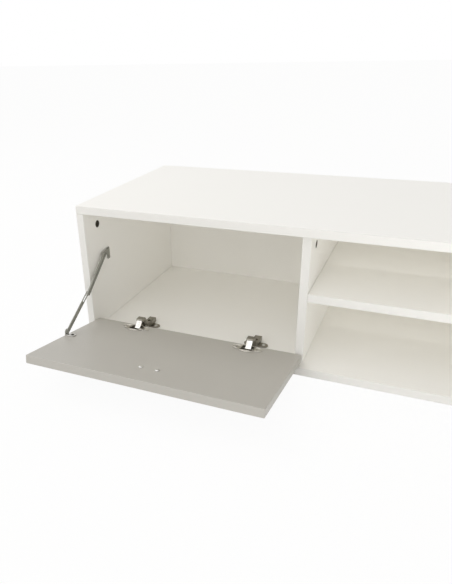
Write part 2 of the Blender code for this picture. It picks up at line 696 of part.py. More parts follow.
def hinge_plate(name, x, bottom):
    low = FLOOR + FIT
    half, length = LINK_WIDTH / 2, PLATE_LENGTH / 2
    item = piece(name, box((x - half, PLATE_MIDDLE - length, low), (x + half, PLATE_MIDDLE + length, PLATE_TOP)),
                 NICKEL)
    radius = PLATE_WING_DEPTH / 2
    reach = PLATE_WINGS / 2 - radius
    wings = sheet([strip((-reach, 0), (reach, 0), radius)], PLATE_WING_STEEL)
    wings.transform(Matrix.Translation((x, PLATE_MIDDLE, low + PLATE_WING_STEEL / 2)))
    fuse(item, wings, "wings")
    bore = [((x, PLATE_MIDDLE, PLATE_TOP - CLAMP_REACH - FIT), (x, PLATE_MIDDLE, PLATE_TOP + FIT))]
    cut(item, rods(bore, CLAMP_RADIUS + FIT), "clamp_bore")
    sunk = low + PLATE_WING_STEEL / 2
    places = [(place, PLATE_MIDDLE, sunk) for place in screw_line(x, PLATE_SCREWS)]
    fuse(item, wood_screws(places, (0, 0, 1), sunk - FLOOR), "screws")
    tip = FLOOR - WOOD_SCREW_REACH - FIT
    pilots = [((place, PLATE_MIDDLE, tip), (place, PLATE_MIDDLE, FLOOR + FIT)) for place, _, _ in places]
    cut(bottom, rods(pilots, WOOD_SCREW_RADIUS + FIT), name + "_pilots")


# Stays

def layer(sign, depth):
    # x of a layer counted from the inner face of a side board
    return sign * (SIDE_FACE - depth)


def stay_bracket(side, sign, upright):
    near = STAY_PIVOT.x + BRACKET_BACK - BRACKET_WIDTH / 2
    far = near + BRACKET_WIDTH
    middle = STAY_PIVOT.y - BRACKET_LOWER
    low, high = middle - BRACKET_HEIGHT / 2, middle + BRACKET_HEIGHT / 2
    outline = [(near, low), (far, low), (far, high), (near, high)]
    item = round_piece(side + "_stay_bracket",
                       side_sheet([outline], layer(sign, FIT), layer(sign, FIT + STAY_STEEL)), STEEL)
    sunk = layer(sign, FIT + STAY_STEEL / 2)
    raised = layer(sign, LOWER_LAYER + STAY_STEEL / 2)
    half = BRACKET_TONGUE / 2
    bend = near + STAY_STEEL / 2
    tongue = arc(STAY_PIVOT, half, 90, 270) + [(bend, STAY_PIVOT.y - half), (bend, high)]
    bm = side_sheet([tongue], layer(sign, LOWER_LAYER), layer(sign, LOWER_LAYER + STAY_STEEL))
    fuse(item, bm, "tongue")
    left, right = sorted((sunk, raised))
    fuse(item, box((left, near + FIT, STAY_PIVOT.y - half + FIT), (right, near + STAY_STEEL, high - FIT)), "step")
    head = STUD_HEAD + STAY_HEAD_STEEL
    fuse(item, rod((raised, *STAY_PIVOT), (layer(sign, head), *STAY_PIVOT), STAY_RIVET_RADIUS), "stud")
    fuse(item, rod((layer(sign, STUD_HEAD), *STAY_PIVOT), (layer(sign, head), *STAY_PIVOT), STAY_RIVET_HEAD),
         "stud_head")
    line = (near + far) / 2
    heights = screw_line(middle, BRACKET_SCREWS)
    bm = wood_screws([(sunk, line, z) for z in heights], (-sign, 0, 0), FIT + STAY_STEEL / 2)
    fuse(item, bm, "screws")
    tip = layer(sign, -WOOD_SCREW_REACH - FIT)
    pilots = [((tip, line, z), (layer(sign, FIT), line, z)) for z in heights]
    cut(upright.item, rods(pilots, WOOD_SCREW_RADIUS + FIT), "stay_pilots")


def stay_upper_bar(side, sign, pivot):
    # a shallow tray that runs along its own +Y from the bracket
    half = UPPER_BAR_WIDTH / 2
    loops = [strip((0, 0), (BAR_LENGTH, 0), half), ring((0, 0), STAY_RIVET_RADIUS + FIT, ROUND_SIDES)]
    outer = UPPER_LAYER + STAY_STEEL
    edge = outer + UPPER_BAR_RIM_RISE
    item = round_piece(side + "_stay_upper_bar",
                       side_sheet(loops, layer(sign, UPPER_LAYER), layer(sign, edge)), STEEL, pivot)
    trough = strip((0, 0), (BAR_LENGTH, 0), half - UPPER_BAR_RIM)
    cut(item, side_sheet([trough], layer(sign, outer), layer(sign, edge + FIT)), "trough")
    fuse(item, rod((layer(sign, UPPER_LAYER + STAY_STEEL / 2), BAR_LENGTH, 0),
                   (layer(sign, outer + STAY_HEAD_STEEL), BAR_LENGTH, 0), STAY_RIVET_HEAD), "elbow_rivet")


def stay_lower_bar(side, sign, pivot):
    # runs along its own +Y from the foot on the flap
    loops = [strip((0, 0), (BAR_LENGTH, 0), LOWER_BAR_WIDTH / 2),
             ring((0, 0), STAY_RIVET_RADIUS + FIT, ROUND_SIDES),
             strip((BAR_LENGTH - STAY_SLOT, 0), (BAR_LENGTH, 0), STAY_RIVET_RADIUS + FIT)]
    round_piece(side + "_stay_lower_bar",
                side_sheet(loops, layer(sign, LOWER_LAYER), layer(sign, LOWER_LAYER + STAY_STEEL)), STEEL, pivot)


def stay_foot(side, sign, pivot):
    # a sole screwed to the flap, with an ear and a headed pin
    half = FOOT_WIDTH / 2
    base = FLAP_INNER + FIT
    left, right = sorted((layer(sign, FAR_EAR), layer(sign, FAR_EAR + FOOT_LENGTH)))
    bm = box((left, base, STAY_EAR.y - half), (right, base + FOOT_STEEL, STAY_EAR.y + half))
    item = round_piece(side + "_stay_foot", relative(bm, pivot), STEEL, pivot)
    outline = arc(STAY_EAR, half, -90, 90) + [(base, STAY_EAR.y + half), (base, STAY_EAR.y - half)]
    bm = side_sheet([outline], layer(sign, FAR_EAR), layer(sign, FAR_EAR + STAY_STEEL))
    fuse(item, relative(bm, pivot), "ear")
    root, neck, head = [(layer(sign, depth), *STAY_EAR) for depth in (
        FAR_EAR + STAY_STEEL / 2, UPPER_LAYER, UPPER_LAYER + STAY_HEAD_STEEL)]
    fuse(item, relative(rod(root, head, STAY_RIVET_RADIUS), pivot), "pin")
    fuse(item, relative(rod(neck, head, STAY_RIVET_HEAD), pivot), "pin_head")
    sunk = base + FOOT_STEEL / 2
    bm = wood_screws([(sign * FOOT_SCREW, sunk, STAY_EAR.y)], (0, 1, 0), sunk - FLAP_INNER)
    fuse(item, relative(bm, pivot), "screw")


# Assembly

def flap_assembly(side, sign, opening, bottom, upright):
    pivot = empty(side + "_flap_axis", (0, *AXIS), opening)
    flap_board(side, sign, pivot)
    flap_pull(side, sign, pivot)
    links = empty(side + "_links_axis", (0, *LINK_TOP), LINK_SWING * (1 - opening / OPEN))
    for place, x in hinge_places(sign):
        name = side + "_flap_" + place + "_hinge_"
        hinge_cup(name + "cup", x, pivot)
        hinge_link(name + "link", x, links)
        hinge_arm(name + "arm", x)
        hinge_plate(name + "plate", x, bottom)
    elbow = stay_elbow(opening)
    ear = turned(STAY_EAR, AXIS, opening)
    upper = empty(side + "_stay_upper_axis", (0, *STAY_PIVOT), heading(elbow - STAY_PIVOT))
    lower = empty(side + "_stay_lower_axis", (0, *(STAY_EAR - AXIS)), heading(elbow - ear) - opening, pivot)
    stay_bracket(side, sign, upright)
    stay_upper_bar(side, sign, upper)
    stay_lower_bar(side, sign, lower)
    stay_foot(side, sign, pivot)


def print_motion():
    # joint centres as they stand, and how far the coupled pieces turn while a flap closes
    bpy.context.view_layer.update()
    for item in PARTS.objects:
        if item.type == "EMPTY":
            print(item.name, [round(value, 6) for value in item.matrix_world.translation])
    shut, wide = stay_elbow(0.0), stay_elbow(OPEN)
    upper = heading(shut - STAY_PIVOT) - heading(wide - STAY_PIVOT)
    lower = heading(shut - STAY_EAR) - heading(wide - turned(STAY_EAR, AXIS, OPEN)) + OPEN
    for label, angle in (("links", LINK_SWING), ("stay upper bar", upper), ("stay lower bar", lower)):
        closing = math.remainder(angle, 2 * math.pi)
        print(label, "turn", round(math.degrees(closing), 4), "degrees,", round(closing / OPEN, 6), "of the flap")


def build():
    top, bottom, uprights = carcass()
    base_screws(uprights, bottom)
    for upright in uprights:
        cam_fittings(upright, top)
        if not upright.is_side:
            shelf_pins(upright)
    for side, sign, opening in SIDES:
        upright = next(each for each in uprights if each.is_side and each.sign == sign)
        flap_assembly(side, sign, opening, bottom, upright)
    print_motion()


build()
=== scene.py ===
import json
import math

import bmesh
import bpy
from mathutils import Matrix, Vector


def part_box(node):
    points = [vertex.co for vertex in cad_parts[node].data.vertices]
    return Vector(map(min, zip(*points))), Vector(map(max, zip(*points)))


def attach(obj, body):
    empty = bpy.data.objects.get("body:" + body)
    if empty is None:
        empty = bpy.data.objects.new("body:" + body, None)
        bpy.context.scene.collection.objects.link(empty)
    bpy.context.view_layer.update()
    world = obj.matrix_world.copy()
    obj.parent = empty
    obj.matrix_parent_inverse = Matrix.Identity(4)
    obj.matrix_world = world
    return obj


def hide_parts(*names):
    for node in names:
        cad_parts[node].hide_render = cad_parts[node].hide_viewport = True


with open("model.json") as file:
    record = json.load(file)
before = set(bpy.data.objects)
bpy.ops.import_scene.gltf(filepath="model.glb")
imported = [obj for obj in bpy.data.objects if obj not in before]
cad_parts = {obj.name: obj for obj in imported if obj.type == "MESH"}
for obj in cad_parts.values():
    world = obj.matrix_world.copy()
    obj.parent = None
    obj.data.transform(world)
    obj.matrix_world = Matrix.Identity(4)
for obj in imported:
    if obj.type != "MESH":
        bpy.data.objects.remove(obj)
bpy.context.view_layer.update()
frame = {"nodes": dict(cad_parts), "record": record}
nodes = frame["nodes"]
print("frame loaded,", len(nodes), "nodes")
mm = 0.001
hands = ("left", "right")
rows = ("front", "rear")


# camera, fitted to the corners of the carcass and of the open flap
view = {
    "place": (-0.05486, -1.10216, 0.57998),
    "heading": 24.7001,     # degrees to the left of straight on
    "dip": 26.392,
    "roll": 1.8877,
    "lens": 34.032,
    "shift": (0.07094, 0.03771),
    "clip": (0.02, 60.0),
}


def putInScene(name, data):
    item = bpy.data.objects.new(name, data)
    bpy.context.scene.collection.objects.link(item)
    return item


def makeCamera():
    data = bpy.data.cameras.new("camera")
    camera = putInScene("camera", data)
    data.lens = view["lens"]
    data.shift_x, data.shift_y = view["shift"]
    data.clip_start, data.clip_end = view["clip"]
    aim = Matrix.Rotation(math.radians(view["heading"]), 4, "Z")
    aim = aim @ Matrix.Rotation(math.radians(90 - view["dip"]), 4, "X")
    aim = aim @ Matrix.Rotation(math.radians(-view["roll"]), 4, "Z")
    camera.matrix_world = Matrix.Translation(view["place"]) @ aim
    bpy.context.scene.camera = camera


# shader sockets that work in plain sums
class Wire:
    def __init__(self, finish, socket):
        self.finish = finish
        self.socket = socket

    def sum(self, operation, first, second=0.0):
        return self.finish.node("Math", {"operation": operation}, {0: first, 1: second})

    def __add__(self, other):
        return self.sum("ADD", self, other)

    def __radd__(self, other):
        return self.sum("ADD", other, self)

    def __sub__(self, other):
        return self.sum("SUBTRACT", self, other)

    def __rsub__(self, other):
        return self.sum("SUBTRACT", other, self)

    def __mul__(self, other):
        return self.sum("MULTIPLY", self, other)

    def __rmul__(self, other):
        return self.sum("MULTIPLY", other, self)

    def __gt__(self, other):
        return self.sum("GREATER_THAN", self, other)

    def __lt__(self, other):
        return self.sum("LESS_THAN", self, other)

    def __abs__(self):
        return self.sum("ABSOLUTE", self)


class Finish:
    # one node tree, a material's or the world's
    def __init__(self, tree):
        self.tree = tree

    def node(self, kind, settings=None, inputs=None, out=0):
        made = self.tree.nodes.new("ShaderNode" + kind)
        for key, value in (settings or {}).items():
            if key == "stops":
                self.setStops(made.color_ramp, value)
            else:
                setattr(made, key, value)
        for key, value in (inputs or {}).items():
            self.feed(made.inputs[key], value)
        return Wire(self, made.outputs[out]) if made.outputs else made

    def setStops(self, ramp, stops):
        while len(ramp.elements) < len(stops):
            ramp.elements.new(1.0)
        for element, (place, colour) in zip(ramp.elements, stops):
            element.position = place
            element.color = (*colour, 1.0)

    def feed(self, socket, value):
        if isinstance(value, Wire):
            self.tree.links.new(value.socket, socket)
        elif isinstance(value, tuple) and len(value) == 3 and socket.type == "RGBA":
            socket.default_value = (*value, 1.0)
        else:
            socket.default_value = value

    def mix(self, mask, first, second):
        return self.node("Mix", {"data_type": "RGBA"}, {0: mask, 6: first, 7: second}, 2)

    def place(self):
        return self.node("TexCoord", out="Object")

    def noise(self, place, scale, detail=2.0, roughness=0.5):
        inputs = {"Vector": place, "Scale": scale, "Detail": detail, "Roughness": roughness}
        return self.node("TexNoise", None, inputs)

    def along(self, vector, direction):
        # how far a vector reaches in a direction
        return self.node("VectorMath", {"operation": "DOT_PRODUCT"}, {0: vector, 1: direction}, "Value")

    def stretch(self, vector, scale):
        return self.node("VectorMath", {"operation": "MULTIPLY"}, {0: vector, 1: scale})

    def bump(self, height, relief):
        strength, distance = relief
        return self.node("Bump", None, {"Height": height, "Strength": strength, "Distance": distance})


def newFinish(name):
    material = bpy.data.materials.new(name)
    material.use_nodes = True
    finish = Finish(material.node_tree)
    finish.material = material
    finish.shader = material.node_tree.nodes["Principled BSDF"]
    return finish


def paint(finish, **sockets):
    # socket names in camelCase: baseColor feeds Base Color
    for key, value in sockets.items():
        words = "".join(" " + letter if letter.isupper() else letter for letter in key)
        finish.feed(finish.shader.inputs[words.title()], value)
    return finish.material


# white and grey faced chipboard
board = {
    "white": (0.953, 0.945, 0.922),
    "whiteWarm": (0.943, 0.934, 0.906),
    # edge bands: the band's white, set darker than the faces as painted shade on the front edges
    "bandWhite": (0.800, 0.792, 0.768),
    "grey": (0.470, 0.454, 0.419),
    "greyLight": (0.495, 0.478, 0.443),
    "glue": (0.30, 0.27, 0.22),
    "glueShows": 0.07,           # how much of the glue shows in the line behind an edge band
    "band": 0.8 * mm,            # thickness of an edge band
    "line": 0.16 * mm,           # half the width of its line
    "chip": (0.33, 0.22, 0.12),
    "chipPale": (0.62, 0.48, 0.30),
    "chipDark": (0.16, 0.10, 0.055),
    "chipStretch": (0.55, 1.0, 1.0),
    "chipScale": 420.0,          # scales are per metre
    "chipFine": 900.0,
    "chipRough": 0.4,
    "chipRelief": 6.0,
    "cloudScale": 3.0,
    "grainScale": 1500.0,
    "smear": (6.0, 22.0, 14.0),
    "roughness": 0.33,
    "smearRough": 0.12,
    "grainRough": 0.04,
    "relief": (0.10, 0.2 * mm),  # strength and depth of the pressed grain
}


def boardFace(finish, place, plain, warm):
    # colour, roughness and height of the printed and pressed face
    cloud = finish.noise(place, board["cloudScale"], 3.0)
    colour = finish.mix(cloud, plain, warm)
    grain = finish.noise(place, board["grainScale"], 3.0, 0.6)
    smear = finish.noise(finish.stretch(place, board["smear"]), 1.0, 4.0)
    roughness = board["roughness"] + smear * board["smearRough"] + grain * board["grainRough"]
    return colour, roughness, grain


def bandLines(depth, steps):
    # thin lines where the edge bands meet the faces; depth runs in from the front
    lines = None
    for front in steps:
        near = abs(depth - (front + board["band"])) < board["line"]
        lines = near if lines is None else lines + near
    return lines


def chipEdge(finish, place):
    # the unbanded rear edges show the pressed chips
    inputs = {"Vector": finish.stretch(place, board["chipStretch"]), "Scale": board["chipScale"]}
    chips = finish.node("TexVoronoi", {"feature": "F1"}, inputs, "Color")
    tone = finish.node("SeparateColor", None, {0: chips})
    fine = finish.noise(place, board["chipFine"], 4.0)
    stops = [(0.0, board["chipDark"]), (0.45, board["chip"]), (1.0, board["chipPale"])]
    colour = finish.node("ValToRGB", {"stops": stops}, {0: tone * 0.7 + fine * 0.3})
    return colour, tone + fine


def whiteBoard():
    finish = newFinish("whiteBoard")
    place = finish.place()
    colour, roughness, grain = boardFace(finish, place, board["white"], board["whiteWarm"])
    normal = finish.node("NewGeometry", out="Normal")
    depth = finish.along(place, (0, 1, 0))
    across = abs(finish.along(normal, (0, 1, 0)))
    # front faces take the darker band colour: the edge band plus painted shade on the front edges
    colour = finish.mix((across > 0.5) * (depth < 0), colour, board["bandWhite"])
    lines = bandLines(depth, fronts) * (across < 0.5)
    colour = finish.mix(lines * board["glueShows"], colour, board["glue"])
    chips, chipHeight = chipEdge(finish, place)
    raw = (depth > rearEdge - 0.2 * mm) * (across > 0.9)
    colour = finish.mix(raw, colour, chips)
    roughness = roughness + raw * board["chipRough"]
    bumped = finish.bump(grain + raw * chipHeight * board["chipRelief"], board["relief"])
    return paint(finish, baseColor=colour, roughness=roughness, normal=bumped)


def greyBoard():
    finish = newFinish("greyBoard")
    place = finish.place()
    colour, roughness, grain = boardFace(finish, place, board["grey"], board["greyLight"])
    bumped = finish.bump(grain, board["relief"])
    return paint(finish, baseColor=colour, roughness=roughness, normal=bumped)


hardboard = {
    "face": (0.946, 0.937, 0.908),
    "raw": (0.30, 0.19, 0.105),
    "rawDark": (0.19, 0.115, 0.06),
    "mesh": 35.0,                # weave of the press screen on the raw side
    "cloudScale": 4.0,
    "fibreScale": 260.0,
    "fibreStretch": (1.0, 1.0, 0.35),
    "roughness": 0.52,
    "rawRough": 0.3,
    "cloudRough": 0.06,
    "fibreRelief": 0.4,
    "relief": (0.15, 0.3 * mm),
}


def backBoard():
    finish = newFinish("backBoard")
    place = finish.place()
    raw = finish.along(finish.node("NewGeometry", out="Normal"), (0, 1, 0)) > 0.5
    cloud = finish.noise(place, hardboard["cloudScale"], 3.0)
    strands = finish.stretch(place, hardboard["fibreStretch"])
    fibre = finish.noise(strands, hardboard["fibreScale"], 6.0, 0.65)
    brown = finish.mix(fibre, hardboard["rawDark"], hardboard["raw"])
    white = finish.mix(cloud, hardboard["face"], board["whiteWarm"])
    threads = []
    for direction in ("X", "Z"):
        settings = {"wave_type": "BANDS", "bands_direction": direction}
        inputs = {"Vector": place, "Scale": hardboard["mesh"]}
        threads.append(finish.node("TexWave", settings, inputs, "Fac"))
    height = raw * (threads[0] + threads[1]) + fibre * hardboard["fibreRelief"]
    colour = finish.mix(raw, white, brown)
    roughness = hardboard["roughness"] + raw * hardboard["rawRough"] + cloud * hardboard["cloudRough"]
    bumped = finish.bump(height, hardboard["relief"])
    return paint(finish, baseColor=colour, roughness=roughness, normal=bumped)


metal = {
    "nickel": {"colour": (0.88, 0.86, 0.82), "dull": (0.74, 0.72, 0.68), "roughness": 0.16},
    # darker copy of the nickel for the cup's wing plate: painted shade against its bright nickel bead
    "wingNickel": {"colour": (0.56, 0.54, 0.49), "dull": (0.43, 0.41, 0.37), "roughness": 0.22},
    # darker copy of the nickel: painted shade in the cup's bowl and on the arm and mounting plate
    "dullNickel": {"colour": (0.36, 0.34, 0.29), "dull": (0.22, 0.205, 0.175), "roughness": 0.30},
    "plated": {"colour": (0.74, 0.73, 0.70), "dull": (0.56, 0.55, 0.53), "roughness": 0.24},
    "staySteel": {"colour": (0.37, 0.37, 0.33), "dull": (0.28, 0.28, 0.25), "roughness": 0.55,
                  "metallic": 0.35},
    # zinc casting made near-black: painted shade on the cams in their holes and on the dark screws
    "casting": {"colour": (0.060, 0.052, 0.040), "dull": (0.028, 0.024, 0.018), "roughness": 0.55,
                "metallic": 0.0, "specular": 0.1},
}
metalGrain = {
    "cloudScale": 60.0,          # scales are per metre
    "drawnScale": 260.0,
    "drawnStretch": (1.0, 9.0, 9.0),
    "pitScale": 1800.0,
    "cloudDulls": 0.6,
    "drawnDulls": 0.3,
    "cloudRough": 0.10,
    "drawnRough": 0.08,
    "pitRelief": 0.5,
    "relief": (0.08, 0.2 * mm),
}


def metalFinish(name):
    tones = metal[name]
    finish = newFinish(name)
    place = finish.place()
    cloud = finish.noise(place, metalGrain["cloudScale"], 4.0)
    drawn = finish.noise(finish.stretch(place, metalGrain["drawnStretch"]), metalGrain["drawnScale"], 4.0)
    pits = finish.noise(place, metalGrain["pitScale"], 2.0)
    dulled = cloud * metalGrain["cloudDulls"] + drawn * metalGrain["drawnDulls"]
    colour = finish.mix(dulled, tones["colour"], tones["dull"])
    roughness = tones["roughness"] + cloud * metalGrain["cloudRough"] + drawn * metalGrain["drawnRough"]
    bumped = finish.bump(drawn + pits * metalGrain["pitRelief"], metalGrain["relief"])
    finish.shader.inputs["Specular IOR Level"].default_value = tones.get("specular", 0.5)
    metallic = tones.get("metallic", 1.0)
    return paint(finish, baseColor=colour, metallic=metallic, roughness=roughness, normal=bumped)


# light and floor
studio = {
    "ambient": 0.65,
    "ambientTint": (1.0, 0.985, 0.95),
    "lamps": {
        "frontHigh": {"place": (-0.2, -2.4, 2.4), "size": (2.2, 2.2), "power": 11.0},
        "frontCentre": {"place": (-0.6, -3.2, 1.3), "size": (1.6, 1.2), "power": 5.5},
        "frontLeft": {"place": (-2.2, -2.6, 1.6), "size": (1.6, 1.6), "power": 10.0},
        "aboveLeft": {"place": (-2.2, -0.2, 2.4), "size": (2.0, 2.0), "power": 18.5},
        "bayRight": {"place": (1.3, -1.7, 0.2), "size": (0.8, 0.3), "power": 0.4,
                     "aim": (0.25, 0.1, 0.13), "spread": 60},
        "floorBounce": {"place": (0.55, -0.8, 0.015), "size": (1.2, 0.5), "power": 6.0,
                        "aim": (0.55, -0.65, 1.0)},
        "upperBay": {"place": (0.0, -0.02, 0.208), "size": (0.42, 0.10), "power": 0.022,
                     "aim": (0.0, 0.1, 0.208)},
        "lowerBay": {"place": (0.0, -0.02, 0.078), "size": (0.42, 0.10), "power": 0.022,
                     "aim": (0.0, 0.1, 0.078)},
    },
    "aim": (-0.3, -0.08, 0.12),
    "floor": (0.92, 0.92, 0.91),
    "floorRough": 0.9,
    "floorLevel": -0.6 * mm,
    "floorGlow": 0.94,           # share of the floor that shows as plain white
    "floorReach": 14.0,
    "bounces": 12,               # white bays pass the light on many times
    "spareBounces": 4,
}


def makeLamp(name, values):
    data = bpy.data.lights.new(name, "AREA")
    data.energy = values["power"]
    data.shape = "RECTANGLE"
    data.size, data.size_y = values["size"]
    data.spread = math.radians(values.get("spread", 180))
    lamp = putInScene(name, data)
    lamp.location = values["place"]
    lamp.visible_camera = False
    aim = Vector(values.get("aim", studio["aim"])) - Vector(values["place"])
    lamp.rotation_euler = aim.to_track_quat("-Z", "Y").to_euler()


def seenDirectly(finish):
    # 1 for the camera and for mirror rays, so that metal shows the pale surroundings too
    kinds = ("Is Camera Ray", "Is Glossy Ray", "Is Transmission Ray")
    camera, glossy, through = [finish.node("LightPath", out=kind) for kind in kinds]
    return finish.node("Math", {"operation": "MINIMUM"}, {0: camera + glossy + through, 1: 1.0})


def makeFloor():
    reach = studio["floorReach"]
    corners = [(-reach, -reach, 0), (reach, -reach, 0), (reach, reach, 0), (-reach, reach, 0)]
    mesh = bpy.data.meshes.new("floor")
    mesh.from_pydata(corners, [], [(0, 1, 2, 3)])
    floor = putInScene("floor", mesh)
    floor.location.z = studio["floorLevel"]
    finish = newFinish("paleFloor")
    paint(finish, baseColor=studio["floor"], roughness=studio["floorRough"])
    glow = finish.node("Emission", None, {"Color": (1.0, 1.0, 1.0), "Strength": 1.0})
    shade = Wire(finish, finish.shader.outputs[0])
    white = seenDirectly(finish) * studio["floorGlow"]
    shown = finish.node("MixShader", None, {0: white, 1: shade, 2: glow})
    finish.feed(finish.tree.nodes["Material Output"].inputs["Surface"], shown)
    mesh.materials.append(finish.material)


def makeStudio():
    world = bpy.data.worlds.new("studio")
    world.use_nodes = True
    bpy.context.scene.world = world
    finish = Finish(world.node_tree)
    world.node_tree.nodes.clear()
    soft = finish.node("Background", None, {"Color": studio["ambientTint"], "Strength": studio["ambient"]})
    white = finish.node("Background", None, {"Color": (1.0, 1.0, 1.0), "Strength": 1.0})
    shown = finish.node("MixShader", None, {0: seenDirectly(finish), 1: soft, 2: white})
    finish.node("OutputWorld", None, {"Surface": shown})
    for name, values in studio["lamps"].items():
        makeLamp(name, values)
    makeFloor()
    bpy.context.scene.view_settings.view_transform = "Standard"
    bpy.context.scene.cycles.diffuse_bounces = studio["bounces"]
    bpy.context.scene.cycles.max_bounces = studio["bounces"] + studio["spareBounces"]


fronts = [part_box("top_panel")[0].y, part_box("middle_shelf")[0].y]
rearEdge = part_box("top_panel")[1].y
makeCamera()
makeStudio()
print("camera and studio made")

finishes = {
    "white_board": whiteBoard(),
    "grey_board": greyBoard(),
    "white_hardboard": backBoard(),
    "nickel": metalFinish("nickel"),
    "wingNickel": metalFinish("wingNickel"),
    "dullNickel": metalFinish("dullNickel"),
    "plated_steel": metalFinish("plated"),
    "staySteel": metalFinish("staySteel"),
    "zinc_casting": metalFinish("casting"),
}
slots = {part["node"]: part["material_slot"] for part in frame["record"]["subparts"]}


def dressNodes():
    for name, item in nodes.items():
        item.data.materials.clear()
        item.data.materials.append(finishes[slots[name]])


dressNodes()
print("finishes on", len(nodes), "nodes")


# shapes are kept as bmesh until they become a piece
meshing = {
    "bevelAngle": math.radians(35),      # edges of a block that are sharper get rounded
    "shadeAngle": math.radians(38),      # and sharper edges than this stay sharp in the shading
    "mitre": 0.3,                        # keeps an inset corner from running away
    "bend": 0.45,                        # most of a side that a rounded bend takes
    "merge": 0.002 * mm,
}
# an outline in y and z with its thickness in x, and one in x and z with its thickness in -y
sideOn = Matrix(((0, 0, 1, 0), (1, 0, 0, 0), (0, 1, 0, 0), (0, 0, 0, 1)))
frontOn = Matrix(((1, 0, 0, 0), (0, 0, -1, 0), (0, 1, 0, 0), (0, 0, 0, 1)))


def shifted(x, y, z):
    return Matrix.Translation((x, y, z))


def facing(place, up, spin=0.0):
    # stands a turned shape on a place, its top towards up
    turn = Vector(up).to_track_quat("Z", "Y").to_matrix().to_4x4()
    return Matrix.Translation(place) @ turn @ Matrix.Rotation(math.radians(spin), 4, "Z")


def turnedAbout(centre, angle):
    # rotation about a line along x through a (y, z) point
    there = shifted(0, centre[0], centre[1])
    return there @ Matrix.Rotation(angle, 4, "X") @ there.inverted()


def add(target, other, matrix=None):
    if isinstance(other, bmesh.types.BMesh):
        mesh = bpy.data.meshes.new("shape")
        other.to_mesh(mesh)
        other.free()
    else:
        mesh = other.copy()
    if matrix is not None:
        mesh.transform(matrix)
    target.from_mesh(mesh)
    bpy.data.meshes.remove(mesh)
    return target


def arc(centre, radius, start, end, steps=12):
    points = []
    for i in range(steps + 1):
        angle = math.radians(start + (end - start) * i / steps)
        points.append((centre[0] + radius * math.cos(angle), centre[1] + radius * math.sin(angle)))
    return points


def circle(centre, radius, steps=40):
    return arc(centre, radius, 0, 360 - 360 / steps, steps - 1)


def slotLoop(start, end, radius):
    return arc(end, radius, -90, 90) + arc(start, radius, 90, 270)


def roundedBox(low, high, soft):
    # loop between two opposite corners
    left, right, lower, upper = low[0] + soft, high[0] - soft, low[1] + soft, high[1] - soft
    centres = ((right, upper), (left, upper), (left, lower), (right, lower))
    loop = []
    for i, centre in enumerate(centres):
        loop += arc(centre, soft, 90 * i, 90 * (i + 1), 5)
    return loop


def softCorners(points, radius, steps=5):
    # path with its inner bends rounded
    points = [Vector(point) for point in points]
    path = [points[0]]
    for before, bend, after in zip(points, points[1:], points[2:]):
        one, two = (before - bend), (after - bend)
        reach = min(radius, one.length * meshing["bend"], two.length * meshing["bend"])
        begin, end = bend + one.normalized() * reach, bend + two.normalized() * reach
        for i in range(steps + 1):
            t = i / steps
            path.append((1 - t) ** 2 * begin + 2 * t * (1 - t) * bend + t ** 2 * end)
    return path + [points[-1]]


def strapLoop(points, half, bend):
    # outline of a bent strip along a path
    path = softCorners(points, bend)
    left, right = [], []
    for i, point in enumerate(path):
        ahead = (path[min(i + 1, len(path) - 1)] - path[max(i - 1, 0)]).normalized()
        across = Vector((-ahead.y, ahead.x)) * half
        left.append(tuple(point + across))
        right.append(tuple(point - across))
    return right + left[::-1]


def softEdges(bm, width):
    pairs = [edge for edge in bm.edges if len(edge.link_faces) == 2]
    sharp = [edge for edge in pairs if edge.calc_face_angle() > meshing["bevelAngle"]]
    bmesh.ops.bevel(bm, geom=sharp, offset=width, segments=2, profile=0.5, affect="EDGES",
                    clamp_overlap=True)


def insetLoop(loop, distance):
    # moves an outline into the material on its left
    points = [Vector(point) for point in loop]
    moved = []
    for before, point, after in zip(points[-1:] + points[:-1], points, points[1:] + points[:1]):
        ahead, onward = (point - before).normalized(), (after - point).normalized()
        mitre = Vector((-ahead.y - onward.y, ahead.x + onward.x))
        moved.append(point + mitre * distance / max(1 + ahead.dot(onward), meshing["mitre"]))
    return moved


def loopArea(loop):
    return sum(a[0] * b[1] - b[0] * a[1] for a, b in zip(loop, loop[1:] + loop[:1])) / 2


def plate(loops, low, high, edge, steps=3):
    # flat outline with holes, as thick as from low to high, with rounded edges and flat faces
    bm = bmesh.new()
    turns = [math.radians(90 * i / steps) for i in range(steps + 1)]
    levels = [(edge * (1 - math.sin(t)), low + edge * (1 - math.cos(t))) for t in turns]
    levels += [(inset, low + high - height) for inset, height in reversed(levels)]
    rims = ([], [])
    for loop in loops:
        anticlockwise = loopArea(loop) > 0
        wanted = loop is loops[0]
        ordered = loop if anticlockwise == wanted else loop[::-1]
        rings = []
        for inset, height in levels:
            rings.append([bm.verts.new((*point, height)) for point in insetLoop(ordered, inset)])
        for lower, upper in zip(rings, rings[1:]):
            for i in range(len(lower)):
                face = bm.faces.new((lower[i - 1], lower[i], upper[i], upper[i - 1]))
                face.smooth = True
        for rim, ring in zip(rims, (rings[0], rings[-1])):
            rim.extend(bm.edges.get((ring[i - 1], ring[i])) for i in range(len(ring)))
    for rim in rims:
        bmesh.ops.triangle_fill(bm, use_beauty=True, use_dissolve=False, edges=rim)
    bmesh.ops.recalc_face_normals(bm, faces=bm.faces[:])
    if bm.calc_volume(signed=True) < 0:
        bmesh.ops.reverse_faces(bm, faces=bm.faces[:])
    return bm


